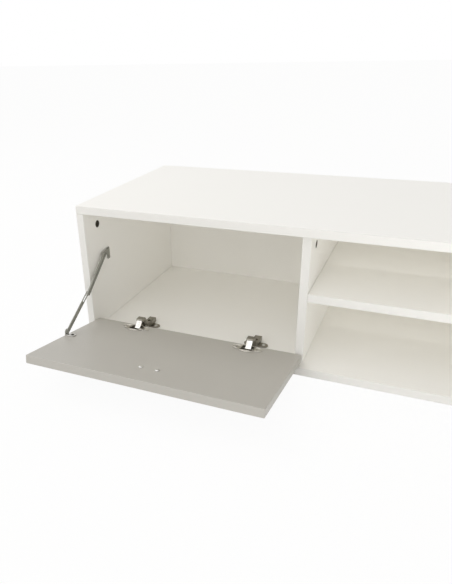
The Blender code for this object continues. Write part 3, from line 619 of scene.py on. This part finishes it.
def lathe(profile, sides=40, closed=False):
    # turned from (radius, height) points
    bm = bmesh.new()
    rings = []
    for radius, height in profile:
        if radius == 0:
            rings.append([bm.verts.new((0, 0, height))])
            continue
        turns = [2 * math.pi * i / sides for i in range(sides)]
        rings.append([bm.verts.new((radius * math.cos(t), radius * math.sin(t), height)) for t in turns])
    pairs = list(zip(rings, rings[1:])) + ([(rings[-1], rings[0])] if closed else [])
    for lower, upper in pairs:
        for i in range(sides):
            j = (i + 1) % sides
            corners = [lower[i % len(lower)], lower[j % len(lower)],
                       upper[j % len(upper)], upper[i % len(upper)]]
            face = bm.faces.new(list(dict.fromkeys(corners)))
            face.smooth = True
    bmesh.ops.recalc_face_normals(bm, faces=bm.faces[:])
    return bm


def pin(radius, length, soft, sides=28):
    profile = [(0, 0), (radius - soft, 0), (radius, soft), (radius, length - soft),
               (radius - soft, length), (0, length)]
    return lathe(profile, sides)


def eye(radius, hole, length, soft, sides=36):
    profile = [(hole, soft), (hole + soft, 0), (radius - soft, 0), (radius, soft), (radius, length - soft),
               (radius - soft, length), (hole + soft, length), (hole, length - soft)]
    return lathe(profile, sides, closed=True)


def dome(radius, height, sides=32):
    # rivet head
    skirt = 0.35                 # share of its height that stands straight
    turns = [math.radians(step) for step in (0, 22, 45, 68)]
    crown = [(radius * math.cos(t), height * (skirt + (1 - skirt) * math.sin(t))) for t in turns]
    return lathe([(0, 0), (radius, 0)] + crown + [(0, height)], sides)


def block(size, soft):
    # block with its middle at the origin
    bm = bmesh.new()
    bmesh.ops.create_cube(bm, size=1.0, matrix=Matrix.Diagonal((*size, 1.0)))
    softEdges(bm, soft)
    return bm


def carve(bm, cutter):
    # takes the cutter's shape away and gives a mesh
    holders = []
    for shape in (bm, cutter):
        mesh = bpy.data.meshes.new("carve")
        shape.to_mesh(mesh)
        shape.free()
        holders.append(putInScene("carve", mesh))
    step = holders[0].modifiers.new("cut", "BOOLEAN")
    step.operation = "DIFFERENCE"
    step.use_self = True         # the arms of a cross run into each other
    step.object = holders[1]
    solved = holders[0].evaluated_get(bpy.context.evaluated_depsgraph_get())
    made = bpy.data.meshes.new_from_object(solved)
    for holder in holders:
        mesh = holder.data
        bpy.data.objects.remove(holder)
        bpy.data.meshes.remove(mesh)
    return made


screwHead = {
    # the head's outline, in shares of its radius and rise
    "crown": [(0.97, 0), (1, 0.15), (0.95, 0.45), (0.80, 0.78), (0.55, 0.96), (0.3, 1), (0, 1)],
    "recess": (1.05, 0.26, 0.8),         # span and width by the radius, depth by the rise
    "point": (0.3, 2.0),                 # blunt end and length of the point, by the shank's radius
    "bitTaper": (0.35, 0.7072),          # narrow end and wide end of a bit's arm, from corner to middle
    "bitStands": 1 * mm,                 # what stands out above the head
}


def crossBit(span, width, depth, top):
    # tapered cross of a driver bit
    narrow, wide = screwHead["bitTaper"]
    stands = screwHead["bitStands"]
    bm = bmesh.new()
    for spin in (0, 90):
        arm = bmesh.new()
        bmesh.ops.create_cone(arm, cap_ends=True, segments=4, radius1=narrow, radius2=wide, depth=1.0)
        square = Matrix.Rotation(math.radians(45), 4, "Z")
        size = Matrix.Diagonal((span, width, depth + stands, 1.0)) @ square
        lift = shifted(0, 0, top - depth / 2 + stands / 2)
        add(bm, arm, Matrix.Rotation(math.radians(spin), 4, "Z") @ lift @ size)
    return bm


def crossScrew(head, crown, shank, reach):
    # domed screw with a cross recess; the underside of its head is at height 0
    blunt, point = screwHead["point"]
    profile = [(0, -reach), (shank * blunt, -reach), (shank, -reach + point * shank), (shank, 0)]
    profile += [(head * out, crown * up) for out, up in screwHead["crown"]]
    span, width, depth = screwHead["recess"]
    return carve(lathe(profile, 36), crossBit(head * span, head * width, crown * depth, crown))


def makePiece(name, bm, slot, body, *replaced, look=None):
    mesh = bpy.data.meshes.new(name)
    bmesh.ops.remove_doubles(bm, verts=bm.verts[:], dist=meshing["merge"])
    bm.to_mesh(mesh)
    bm.free()
    mesh.materials.append(finishes[look or slot])
    mesh.set_sharp_from_angle(angle=meshing["shadeAngle"])
    item = putInScene(name, mesh)
    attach(item, body)
    if replaced:
        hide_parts(*replaced)
    return item


# where things are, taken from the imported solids
fit = 0.3 * mm
sunk = 0.2 * mm                     # how far a screw head or a rolled edge runs into the steel under it
flapLow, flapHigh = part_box("right_flap")
sidePanel = {"left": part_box("left_side_panel")[1].x, "right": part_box("right_side_panel")[0].x}
outward = {"left": -1, "right": 1}
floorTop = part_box("bottom_panel")[1].z
flapInner = flapHigh.y
flapOuter = flapLow.y
openAngle = math.radians(80.5)
flapAxis = (-0.197, 0.028)          # y and z
flapTurn = {"left": turnedAbout(flapAxis, openAngle), "right": Matrix.Identity(4)}
swing = {"left": openAngle, "right": 0.0}


def middleOf(node):
    low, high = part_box(node)
    return (low + high) / 2


def turnedPoint(point, centre, angle):
    y, z = point[0] - centre[0], point[1] - centre[1]
    cos, sin = math.cos(angle), math.sin(angle)
    return (centre[0] + y * cos - z * sin, centre[1] + y * sin + z * cos)


def headingOf(start, end):
    return math.atan2(end[1] - start[1], end[0] - start[0])


screws = {
    "wood": {"head": 3.6 * mm, "crown": 1.2 * mm, "shank": 1.8 * mm},
    "clamp": {"head": 3.4 * mm, "crown": 1.2 * mm, "shank": 2.0 * mm},
    "pull": {"head": 4.2 * mm, "crown": 1.8 * mm, "shank": 2.0 * mm},
}

hinge = {
    "cupRise": 21.5 * mm,
    # (radius, height) in mm, from the flap's inner face
    "cup": [(0, -12.6), (14.6, -12.6), (16.4, -12.2), (17.3, -11.2), (17.5, -9.8), (17.5, 0.9), (16.7, 0.9),
            (16.7, -9.6), (16.4, -10.9), (15.6, -11.6), (14.4, -11.8), (0, -11.8)],
    "rim": 19 * mm,
    "steel": 1.2 * mm,
    "wingLength": 60 * mm,
    "wingRoot": 20 * mm,
    "wingTip": 17 * mm,
    "wingScrews": 48 * mm,
    "slot": (2.2 * mm, 3.3 * mm),        # half length and radius of the slots under the wing screws
    "mouth": (11.5 * mm, 12 * mm, 16.4 * mm),    # half width, upper edge, radius of the lower edge
    "mouthCorner": 3 * mm,
    "mouthLip": (0.8 * mm, 0.3 * mm),    # radius and rounding of the turned-up edge
    "wingEdge": 0.5 * mm,                # edges here are the rounding of a plate
    "bead": (1.2 * mm, 0.8 * mm),        # width and rise of the rolled edge round the wings
    "beadEdge": 0.3 * mm,
    "pin": (0.8 * mm, 0.15 * mm),
    "pinSpan": 13.1 * mm,
    "lever": 6.5 * mm,
    "upper": (8.7 * mm, 20.3 * mm),      # upper link pin, back and up from the flap's axis
    "linkWidth": 11.5 * mm,
    "linkSteel": 2.4 * mm,
    "linkEdge": 0.35 * mm,
    "eye": (4.0 * mm, 3.2 * mm, 0.3 * mm),       # radius, hole and rounding
    "hub": (1.9 * mm, 1.1 * mm, 0.2 * mm),
    "nose": 3.4 * mm,
    "noseEnd": 175,                      # degrees round the upper pin
    "neck": 10.3 * mm,
    "slope": 13.5 * mm,
    "armLength": 60 * mm,
    "armEdge": 0.35 * mm,
    "armBend": 2.5 * mm,
    "cheekShy": (0.1 * mm, 0.5 * mm),    # how far the cheeks end under the folded nose and top
    "cheekEdge": 0.3 * mm,
    "rivetEnd": (1.4 * mm, 0.35 * mm),   # riveted ends of the arm's pin
    "plateHeight": 10.7 * mm,
    "plate": (11.3 * mm, 30 * mm),
    "plateCorner": 2 * mm,
    "plateEdge": 0.7 * mm,
    "plateWings": (50 * mm, 16 * mm, 2.5 * mm),
    "plateWingEdge": 0.6 * mm,
    "plateScrews": 32 * mm,
    "clampSunk": 0.1 * mm,
    "screwReach": {"cup": 10.9 * mm, "plate": 12 * mm, "clamp": 7 * mm},
    "screwSpin": {"cup": 20, "plate": 10, "clamp": 35},      # degrees that the cross is turned
    "plateLine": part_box("top_panel")[0].y + 57 * mm,
}
linkTop = (flapAxis[0] + hinge["upper"][0], flapAxis[1] + hinge["upper"][1])
linkAim = headingOf(flapAxis, linkTop) - openAngle / 2
leverY, leverZ = hinge["lever"] * math.cos(linkAim), hinge["lever"] * math.sin(linkAim)
linkLow = (flapAxis[0] + leverY, flapAxis[1] + leverZ)
linkLowOpen = turnedPoint(linkLow, flapAxis, openAngle)
linkSwing = headingOf(linkTop, linkLow) - headingOf(linkTop, linkLowOpen)


def wingLoop():
    tip, root, rim = hinge["wingTip"] / 2, hinge["wingRoot"] / 2, hinge["rim"]
    reach = hinge["wingLength"] / 2 - tip
    shoulder = math.degrees(math.asin(root / rim))
    return (arc((reach, 0), tip, -90, 90) + arc((0, 0), rim, shoulder, 180 - shoulder, 20)
            + arc((-reach, 0), tip, 90, 270) + arc((0, 0), rim, 180 + shoulder, 360 - shoulder, 20))


def mouthLoop():
    half, high, radius = hinge["mouth"]
    soft = hinge["mouthCorner"]
    corner = math.degrees(math.asin(half / radius))
    return (arc((0, 0), radius, 270 - corner, 270 + corner, 16)
            + arc((half - soft, high - soft), soft, 0, 90, 6)
            + arc((soft - half, high - soft), soft, 90, 180, 6))


def cupPiece(side, node, name, screw):
    x = middleOf(node).x
    z = flapLow.z + hinge["cupRise"]
    bowl = [(radius * mm, height * mm) for radius, height in hinge["cup"]]
    bm = add(bmesh.new(), lathe(bowl, 56), flapTurn[side] @ facing((x, flapInner, z), (0, 1, 0)))
    # the bowl is in the darker nickel: painted shade inside the cup
    makePiece(name + "Bowl", bm, "nickel", side + "_flap", look="dullNickel")
    bm = bmesh.new()
    half, radius = hinge["slot"]
    far = hinge["wingScrews"] / 2
    loops = [wingLoop(), mouthLoop()]
    for middle in (-far, far):
        loops.append(slotLoop((middle - half, 0), (middle + half, 0), radius))
    # frontOn turns the thickness towards -y, so the plate is drawn from its outer face
    outer = fit + hinge["steel"]
    add(bm, plate(loops, -outer, -fit, hinge["wingEdge"]), shifted(x, flapInner, z) @ frontOn)
    for middle in (-far, far):
        seat = (x + middle, flapInner + outer - sunk, z)
        add(bm, screw, facing(seat, (0, 1, 0), hinge["screwSpin"]["cup"]))
    span = hinge["pinSpan"]
    radius, soft = hinge["pin"]
    add(bm, pin(radius, 2 * span, soft, 16), facing((x - span, *linkLow), (1, 0, 0)))
    lip, soft = hinge["mouthLip"]
    reach = hinge["mouth"][0] - hinge["mouthCorner"]
    edge = (x - reach, flapInner + outer, z + hinge["mouth"][1] + lip)
    add(bm, pin(lip, 2 * reach, soft, 20), facing(edge, (1, 0, 0)))
    bm.transform(flapTurn[side])
    # the wing plate takes a darker nickel than its bead, as painted shade
    makePiece(name + "Cup", bm, "nickel", side + "_flap", node, look="wingNickel")
    bead, rise = hinge["bead"]
    inner = [tuple(point) for point in insetLoop(wingLoop(), bead)]
    rolled = plate([wingLoop(), inner], -outer - rise, sunk - outer, hinge["beadEdge"])
    bm = add(bmesh.new(), rolled, flapTurn[side] @ shifted(x, flapInner, z) @ frontOn)
    makePiece(name + "Bead", bm, "nickel", side + "_flap")


def linkPiece(side, node, name):
    x = middleOf(node).x
    width = hinge["linkWidth"]
    low = (linkLowOpen[0] - linkTop[0], linkLowOpen[1] - linkTop[1])
    half = hinge["linkSteel"] / 2
    aim = Vector(low).normalized()
    front = Vector((aim.y, -aim.x))
    hubFace = front * (hinge["hub"][0] - half)
    eyeFace = Vector(low) + front * (hinge["eye"][0] - half)
    bm = bmesh.new()
    # its face runs level from the hub to the eye
    loop = strapLoop([hubFace, eyeFace], half, 0)
    add(bm, plate([loop], -width / 2, width / 2, hinge["linkEdge"]), sideOn)
    for place, (radius, hole, soft) in ((low, hinge["eye"]), ((0, 0), hinge["hub"])):
        add(bm, eye(radius, hole, width, soft), facing((-width / 2, *place), (1, 0, 0)))
    turn = Matrix.Rotation(0.0 if side == "left" else linkSwing, 4, "X")
    bm.transform(shifted(x, *linkTop) @ turn)
    makePiece(name + "Link", bm, "nickel", side + "_hinge_links", node)


def armPiece(node, name, screw):
    x = middleOf(node).x
    steel = hinge["steel"]
    inside = hinge["linkWidth"] / 2 + fit
    outside = inside + steel
    nose, y, z = hinge["nose"], *linkTop
    neck = y + hinge["neck"]
    back = neck + hinge["slope"]
    rear = y + hinge["armLength"]
    low = floorTop + 2 * fit + hinge["plateWings"][2]
    top = floorTop + 2 * fit + hinge["plateHeight"] + steel
    shyNose, shy = hinge["cheekShy"]
    cheek = arc((y, z), nose - shyNose, 270, 90, 14) + [
        (neck, z + nose - shy), (back, top - shy), (rear - shy, top - shy), (rear - shy, low), (back, low),
        (neck, z - nose)]
    bm = bmesh.new()
    for start in (-outside, inside):
        add(bm, plate([cheek], start, start + steel, hinge["cheekEdge"]), sideOn)
    half = steel / 2
    fold = arc((y, z), nose - half, hinge["noseEnd"], 90, 4) + [
        (neck, z + nose - half), (back, top - half), (rear - half, top - half), (rear - half, low + half)]
    strap = strapLoop(fold, half, hinge["armBend"])
    add(bm, plate([strap], -outside, outside, hinge["armEdge"]), sideOn)
    cheekMiddle = inside + steel / 2
    radius, soft = hinge["pin"]
    add(bm, pin(radius, 2 * cheekMiddle, soft, 16), facing((-cheekMiddle, y, z), (1, 0, 0)))
    radius, rise = hinge["rivetEnd"]
    for start in (-outside - rise, outside):
        add(bm, pin(radius, rise, soft, 20), facing((start, y, z), (1, 0, 0)))
    bm.transform(shifted(x, 0, 0))
    # the arm is in the darker nickel: painted shade
    makePiece(name + "Arm", bm, "nickel", "cabinet", node, look="dullNickel")
    seat = (x, hinge["plateLine"], top - hinge["clampSunk"])
    bm = add(bmesh.new(), screw, facing(seat, (0, 0, 1), hinge["screwSpin"]["clamp"]))
    # the arm's screw takes the near-black casting look: painted shade in its recess
    makePiece(name + "ArmScrew", bm, "nickel", "cabinet", look="zinc_casting")


def platePiece(node, name, screw):
    x, y = middleOf(node).x, hinge["plateLine"]
    low = floorTop + fit
    width, length = hinge["plate"]
    span, depth, steel = hinge["plateWings"]
    bm = bmesh.new()
    loop = roundedBox((-width / 2, -length / 2), (width / 2, length / 2), hinge["plateCorner"])
    add(bm, plate([loop], low, low + hinge["plateHeight"], hinge["plateEdge"]), shifted(x, y, 0))
    reach = span / 2 - depth / 2
    loop = slotLoop((-reach, 0), (reach, 0), depth / 2)
    add(bm, plate([loop], low, low + steel, hinge["plateWingEdge"]), shifted(x, y, 0))
    # the plate is in the darker nickel: painted shade
    makePiece(name + "Plate", bm, "nickel", "cabinet", node, look="dullNickel")
    bm = bmesh.new()
    for middle in (-hinge["plateScrews"] / 2, hinge["plateScrews"] / 2):
        seat = (x + middle, y, low + steel - sunk)
        add(bm, screw, facing(seat, (0, 0, 1), hinge["screwSpin"]["plate"]))
    makePiece(name + "PlateScrews", bm, "nickel", "cabinet", look="plated_steel")


def makeHinges():
    reach = hinge["screwReach"]
    cupScrew = crossScrew(reach=reach["cup"], **screws["wood"])
    plateScrew = crossScrew(reach=reach["plate"], **screws["wood"])
    clampScrew = crossScrew(reach=reach["clamp"], **screws["clamp"])
    for side in hands:
        for place in hands:
            node = side + "_flap_" + place + "_hinge_"
            name = side + "Flap" + place.title()
            cupPiece(side, node + "cup", name, cupScrew)
            linkPiece(side, node + "link", name)
            armPiece(node + "arm", name, clampScrew)
            platePiece(node + "plate", name, plateScrew)
    for mesh in (cupScrew, plateScrew, clampScrew):
        bpy.data.meshes.remove(mesh)


stay = {
    "pivot": (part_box("top_panel")[0].y + 50.5 * mm, 173 * mm),
    "footRise": 126 * mm,
    "earRise": 7 * mm,
    "fold": 7.5,                 # degrees
    "steel": 2 * mm,
    "upperWidth": 9.2 * mm,
    "upperRim": (1.1 * mm, 1.4 * mm),    # thickness and rise of the turned-up edge
    "lowerWidth": 9 * mm,
    "slot": 20 * mm,
    "rivet": 2.2 * mm,
    "rivetHead": 3.2 * mm,
    "headSteel": 0.9 * mm,
    "bracketBack": 27.5 * mm,
    "bracketDown": 6.2 * mm,
    "bracket": (10 * mm, 26 * mm),
    "bracketCorner": 2.5 * mm,
    "tongue": 9 * mm,
    "bracketScrews": 17 * mm,
    "foot": (20 * mm, 11 * mm, 1.8 * mm),
    "footCorner": 2.2 * mm,
    "footEdge": 0.4 * mm,
    "pinEdge": 0.2 * mm,
    "headSunk": 0.05 * mm,
    "edge": 0.45 * mm,
    "screwReach": 11.5 * mm,
    "screwSpin": {"bracket": 25, "foot": 40},
}
stayEar = (flapInner + stay["earRise"], flapLow.z + stay["footRise"])
farEar = 2 * fit + stay["steel"]
lowerLayer = farEar + stay["steel"] + fit
upperLayer = lowerLayer + stay["steel"] + fit
studHead = upperLayer + stay["steel"] + fit


def stayLength():
    ear = turnedPoint(stayEar, flapAxis, openAngle)
    span = math.dist(ear, stay["pivot"])
    return span / 2 / math.cos(math.radians(stay["fold"]) / 2)


def elbowAt(opening):
    # where the two bars meet
    bar = stayLength()
    ear = Vector(turnedPoint(stayEar, flapAxis, opening))
    reach = bar - stay["slot"] * (1 - opening / openAngle)
    span = Vector(stay["pivot"]) - ear
    along = (reach ** 2 - bar ** 2 + span.length ** 2) / (2 * span.length)
    aside = math.sqrt(reach ** 2 - along ** 2)
    line = span.normalized()
    return ear + along * line + aside * Vector((line.y, -line.x))


def layerX(side, depth):
    return sidePanel[side] - outward[side] * depth


def layered(side, loops, depth, thickness, edge):
    # side-on plate in a layer that is counted from the side panel
    low, high = sorted((layerX(side, depth), layerX(side, depth + thickness)))
    bm = plate(loops, low, high, edge)
    bm.transform(sideOn)
    return bm


def addHead(bm, side, depth, place):
    # rivet head that faces into the bay, at a (y, z) point
    inward = (-outward[side], 0, 0)
    add(bm, dome(stay["rivetHead"], stay["headSteel"]), facing((layerX(side, depth), *place), inward))


def addStud(bm, side, root, top, place):
    # headed pin from one layer to another
    inward = (-outward[side], 0, 0)
    stud = pin(stay["rivet"], top - root, stay["pinEdge"])
    add(bm, stud, facing((layerX(side, root), *place), inward))
    addHead(bm, side, top, place)


def layAlong(bm, start, end):
    # a bar that was drawn along y then runs between two (y, z) points
    bm.transform(shifted(0, *start) @ Matrix.Rotation(headingOf(start, end), 4, "X"))


def bracketPiece(side, screw):
    # a plate on the side panel with a tongue that steps in to the upper bar
    y, z = stay["pivot"]
    width, height = stay["bracket"]
    steel = stay["steel"]
    near = y + stay["bracketBack"] - width / 2
    far = near + width
    middle = z - stay["bracketDown"]
    low, high = middle - height / 2, middle + height / 2
    loop = roundedBox((near, low), (far, high), stay["bracketCorner"])
    bm = layered(side, [loop], fit, steel, stay["edge"])
    half = stay["tongue"] / 2
    bend = near + steel
    tongue = arc((y, z), half, 90, 270, 16) + [(bend, z - half), (bend, high)]
    add(bm, layered(side, [tongue], lowerLayer, steel, stay["edge"]))
    outer, inner = layerX(side, fit + steel / 2), layerX(side, lowerLayer + steel / 2)
    step = block((abs(inner - outer), steel, high - z + half), stay["edge"])
    add(bm, step, shifted((outer + inner) / 2, near + steel / 2, (high + z - half) / 2))
    addStud(bm, side, lowerLayer + steel / 2, studHead, (y, z))
    for rise in (-stay["bracketScrews"] / 2, stay["bracketScrews"] / 2):
        seat = (layerX(side, fit + steel - sunk), (near + far) / 2, middle + rise)
        add(bm, screw, facing(seat, (-outward[side], 0, 0), stay["screwSpin"]["bracket"]))
    makePiece(side + "StayBracket", bm, "plated_steel", "cabinet", side + "_stay_bracket", look="staySteel")


def upperBarPiece(side):
    # a shallow tray: a flat bar with a turned-up edge
    bar = stayLength()
    half, steel = stay["upperWidth"] / 2, stay["steel"]
    rim, rise = stay["upperRim"]
    ends = ((0, 0), (bar, 0))
    loops = [slotLoop(*ends, half), circle((0, 0), stay["rivet"] + fit, 24)]
    bm = layered(side, loops, upperLayer, steel, stay["edge"])
    loops = [slotLoop(*ends, half), slotLoop(*ends, half - rim)]
    add(bm, layered(side, loops, upperLayer + steel / 2, steel / 2 + rise, stay["edge"]))
    addHead(bm, side, upperLayer + steel - stay["headSunk"], ends[1])
    layAlong(bm, stay["pivot"], elbowAt(swing[side]))
    node = side + "_stay_upper_bar"
    makePiece(side + "StayUpperBar", bm, "plated_steel", side + "_stay_upper", node, look="staySteel")


def lowerBarPiece(side):
    bar = stayLength()
    hole = stay["rivet"] + fit
    loops = [slotLoop((0, 0), (bar, 0), stay["lowerWidth"] / 2), circle((0, 0), hole, 24),
             slotLoop((bar - stay["slot"], 0), (bar, 0), hole)]
    bm = layered(side, loops, lowerLayer, stay["steel"], stay["edge"])
    layAlong(bm, turnedPoint(stayEar, flapAxis, swing[side]), elbowAt(swing[side]))
    node = side + "_stay_lower_bar"
    makePiece(side + "StayLowerBar", bm, "plated_steel", side + "_stay_lower", node, look="staySteel")


def footPiece(side, screw):
    length, width, steel = stay["foot"]
    half = width / 2
    y, z = stayEar
    base = flapInner + fit
    near, far = sorted((layerX(side, farEar), layerX(side, farEar + length)))
    loop = roundedBox((near, -half), (far, half), stay["footCorner"])
    sole = plate([loop], -steel, 0, stay["footEdge"])
    bm = add(bmesh.new(), sole, flapTurn[side] @ shifted(0, base, z) @ frontOn)
    makePiece(side + "StayFootSole", bm, "plated_steel", side + "_flap")
    ear = arc((y, z), half, -90, 90, 16) + [(base, z + half), (base, z - half)]
    bm = layered(side, [ear], farEar, stay["steel"], stay["footEdge"])
    addStud(bm, side, farEar + stay["steel"] / 2, upperLayer, stayEar)
    bm.transform(flapTurn[side])
    makePiece(side + "StayFoot", bm, "plated_steel", side + "_flap", side + "_stay_foot", look="staySteel")
    seat = (layerX(side, farEar + length - half), base + steel - sunk, z)
    bm = add(bmesh.new(), screw, flapTurn[side] @ facing(seat, (0, 1, 0), stay["screwSpin"]["foot"]))
    # the foot's screw takes the near-black casting look: painted shade
    makePiece(side + "StayFootScrew", bm, "plated_steel", side + "_flap", look="zinc_casting")


def makeStays():
    screw = crossScrew(reach=stay["screwReach"], **screws["wood"])
    for side in hands:
        bracketPiece(side, screw)
        upperBarPiece(side)
        lowerBarPiece(side)
        footPiece(side, screw)
    bpy.data.meshes.remove(screw)


pull = {
    "screws": 32 * mm,
    "drop": 52 * mm,
    "size": (46 * mm, 22 * mm, 14 * mm),     # length, depth and height
    "waist": 8 * mm,
    "grip": 9 * mm,
    "swell": (0.5, 0.25),        # shares of the depth, from the nose, between which it widens
    "bend": 3.5 * mm,
    "edge": 0.8 * mm,
    "screwSpin": 30,
}


def makePulls():
    length, depth, height = pull["size"]
    half, waist = height / 2, pull["waist"] / 2
    z = flapHigh.z - pull["drop"]
    base = flapOuter - fit
    nose = base - depth
    slim, full = pull["swell"]
    upper = [(base, waist), (nose + depth * slim, waist), (nose + depth * full, half), (nose, half)]
    path = softCorners(upper, pull["bend"], 6)
    outline = [tuple(point) for point in path] + [(point[0], -point[1]) for point in reversed(path)]
    seat = flapInner + fit
    screw = crossScrew(reach=seat - base + pull["grip"], **screws["pull"])
    for side in hands:
        middle = middleOf("right_flap").x * outward[side]
        bm = plate([outline], middle - length / 2, middle + length / 2, pull["edge"])
        bm.transform(flapTurn[side] @ shifted(0, 0, z) @ sideOn)
        makePiece(side + "Pull", bm, "nickel", side + "_flap", side + "_pull")
        for place in hands:
            x = middle + outward[place] * pull["screws"] / 2
            spin = outward[place] * pull["screwSpin"]
            bm = add(bmesh.new(), screw, flapTurn[side] @ facing((x, seat, z), (0, 1, 0), spin))
            node = side + "_pull_" + place + "_screw"
            name = side + "Pull" + place.title() + "Screw"
            makePiece(name, bm, "plated_steel", side + "_flap", node)
    bpy.data.meshes.remove(screw)


camLock = {
    "size": (7.5 * mm, 12.3 * mm),       # radius and depth
    "edge": 0.5 * mm,
    "recess": (8.68 * mm, 1.5 * mm, 2.4 * mm),   # span, width and depth of the cross
    "mouth": (2.2 * mm, 4.2 * mm, 1.6 * mm),     # notch in the rim, towards the bolt
    "mouthInset": 1.2 * mm,
    "mouthEdge": 0.2 * mm,
    "drop": 33.5 * mm,                   # below the top panel
    "bolt": (3 * mm, 0.4 * mm),
    "boltDepth": 7.8 * mm,
}


def camShape():
    # lock with its face upward at height 0, a cross for the driver and the mouth that takes the bolt
    radius, depth = camLock["size"]
    soft = camLock["edge"]
    profile = [(0, -depth), (radius - soft, -depth), (radius, -depth + soft), (radius, -soft),
               (radius - soft, 0), (0, 0)]
    made = carve(lathe(profile, 48), crossBit(*camLock["recess"], 0))
    groove = block(camLock["mouth"], camLock["mouthEdge"])
    groove.transform(shifted(0, radius - camLock["mouthInset"], 0))
    bm = add(bmesh.new(), made)
    bpy.data.meshes.remove(made)
    return carve(bm, groove)


def camPiece(side, kind, row, shape):
    node = side + "_" + kind + "_" + row + "_cam"
    low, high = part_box(node)
    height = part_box("top_panel")[0].z - camLock["drop"]
    inward = -outward[side]
    x = high.x if inward > 0 else low.x
    y = (low.y + high.y) / 2
    turn = Matrix(((0, 0, inward, 0), (inward, 0, 0, 0), (0, 1, 0, 0), (0, 0, 0, 1)))
    bm = add(bmesh.new(), shape, shifted(x, y, height) @ turn)
    radius, soft = camLock["bolt"]
    middle = x - inward * camLock["boltDepth"]
    add(bm, pin(radius, high.z - height, soft), facing((middle, y, height), (0, 0, 1)))
    # the cam's finish is near-black: painted shade on the cam in its hole
    makePiece(side + kind.title() + row.title() + "Cam", bm, "zinc_casting", "cabinet", node)


def makeCams():
    shape = camShape()
    for side in hands:
        for kind in ("side", "divider"):
            for row in rows:
                camPiece(side, kind, row, shape)
    bpy.data.meshes.remove(shape)


baseScrew = {
    "head": (5 * mm, 4 * mm),            # radius and rise
    "edge": 0.4 * mm,
    "slope": 1 * mm,                     # of the head's underside
    "shank": (3.2 * mm, 49.5 * mm),      # radius and reach
    "tip": (0.6 * mm, 3 * mm),
    "socket": (2.6 * mm, 3 * mm),
    "cutStands": 1 * mm,
}


def baseScrewShape():
    head, rise = baseScrew["head"]
    shank, reach = baseScrew["shank"]
    blunt, point = baseScrew["tip"]
    soft = baseScrew["edge"]
    profile = [(0, 0), (head - soft, 0), (head, soft), (head, rise - baseScrew["slope"]), (shank, rise),
               (shank, reach - point), (blunt, reach), (0, reach)]
    radius, depth = baseScrew["socket"]
    below = -baseScrew["cutStands"]
    socket = lathe([(0, below), (radius, below), (radius, depth), (0, depth)], 6)
    return carve(lathe(profile, 40), socket)


def makeBaseScrews():
    shape = baseScrewShape()
    for node in [name for name in nodes if name.endswith("_base_screw")]:
        low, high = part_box(node)
        bm = add(bmesh.new(), shape, shifted((low.x + high.x) / 2, (low.y + high.y) / 2, low.z))
        first, *others = node.split("_")
        name = first + "".join(word.title() for word in others)
        makePiece(name, bm, "plated_steel", "cabinet", node)
    bpy.data.meshes.remove(shape)


shelfPin = {
    "radius": 2.5 * mm,
    "edge": 0.8 * mm,
    # distance from the inner end and depth of the groove that marks how far it goes in
    "groove": [(8.6 * mm, 0.0), (8.4 * mm, 0.45 * mm), (7.9 * mm, 0.45 * mm), (7.7 * mm, 0.0)],
}


def makeShelfPins():
    radius, soft = shelfPin["radius"], shelfPin["edge"]
    for side in hands:
        for row in rows:
            node = side + "_" + row + "_shelf_pin"
            low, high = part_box(node)
            length = high.x - low.x
            profile = [(0, 0), (radius - soft, 0), (radius, soft)]
            profile += [(radius - depth, length - back) for back, depth in shelfPin["groove"]]
            profile += [(radius, length - soft), (radius - soft, length), (0, length)]
            inward = -outward[side]
            start = low.x if inward > 0 else high.x
            place = (start, (low.y + high.y) / 2, (low.z + high.z) / 2)
            bm = add(bmesh.new(), lathe(profile, 32), facing(place, (inward, 0, 0)))
            makePiece(side + row.title() + "ShelfPin", bm, "plated_steel", "cabinet", node)


makeHinges()
print("hinges made")
makeStays()
print("stays made")
makePulls()
makeCams()
makeBaseScrews()
makeShelfPins()
print("pulls and joinery made")
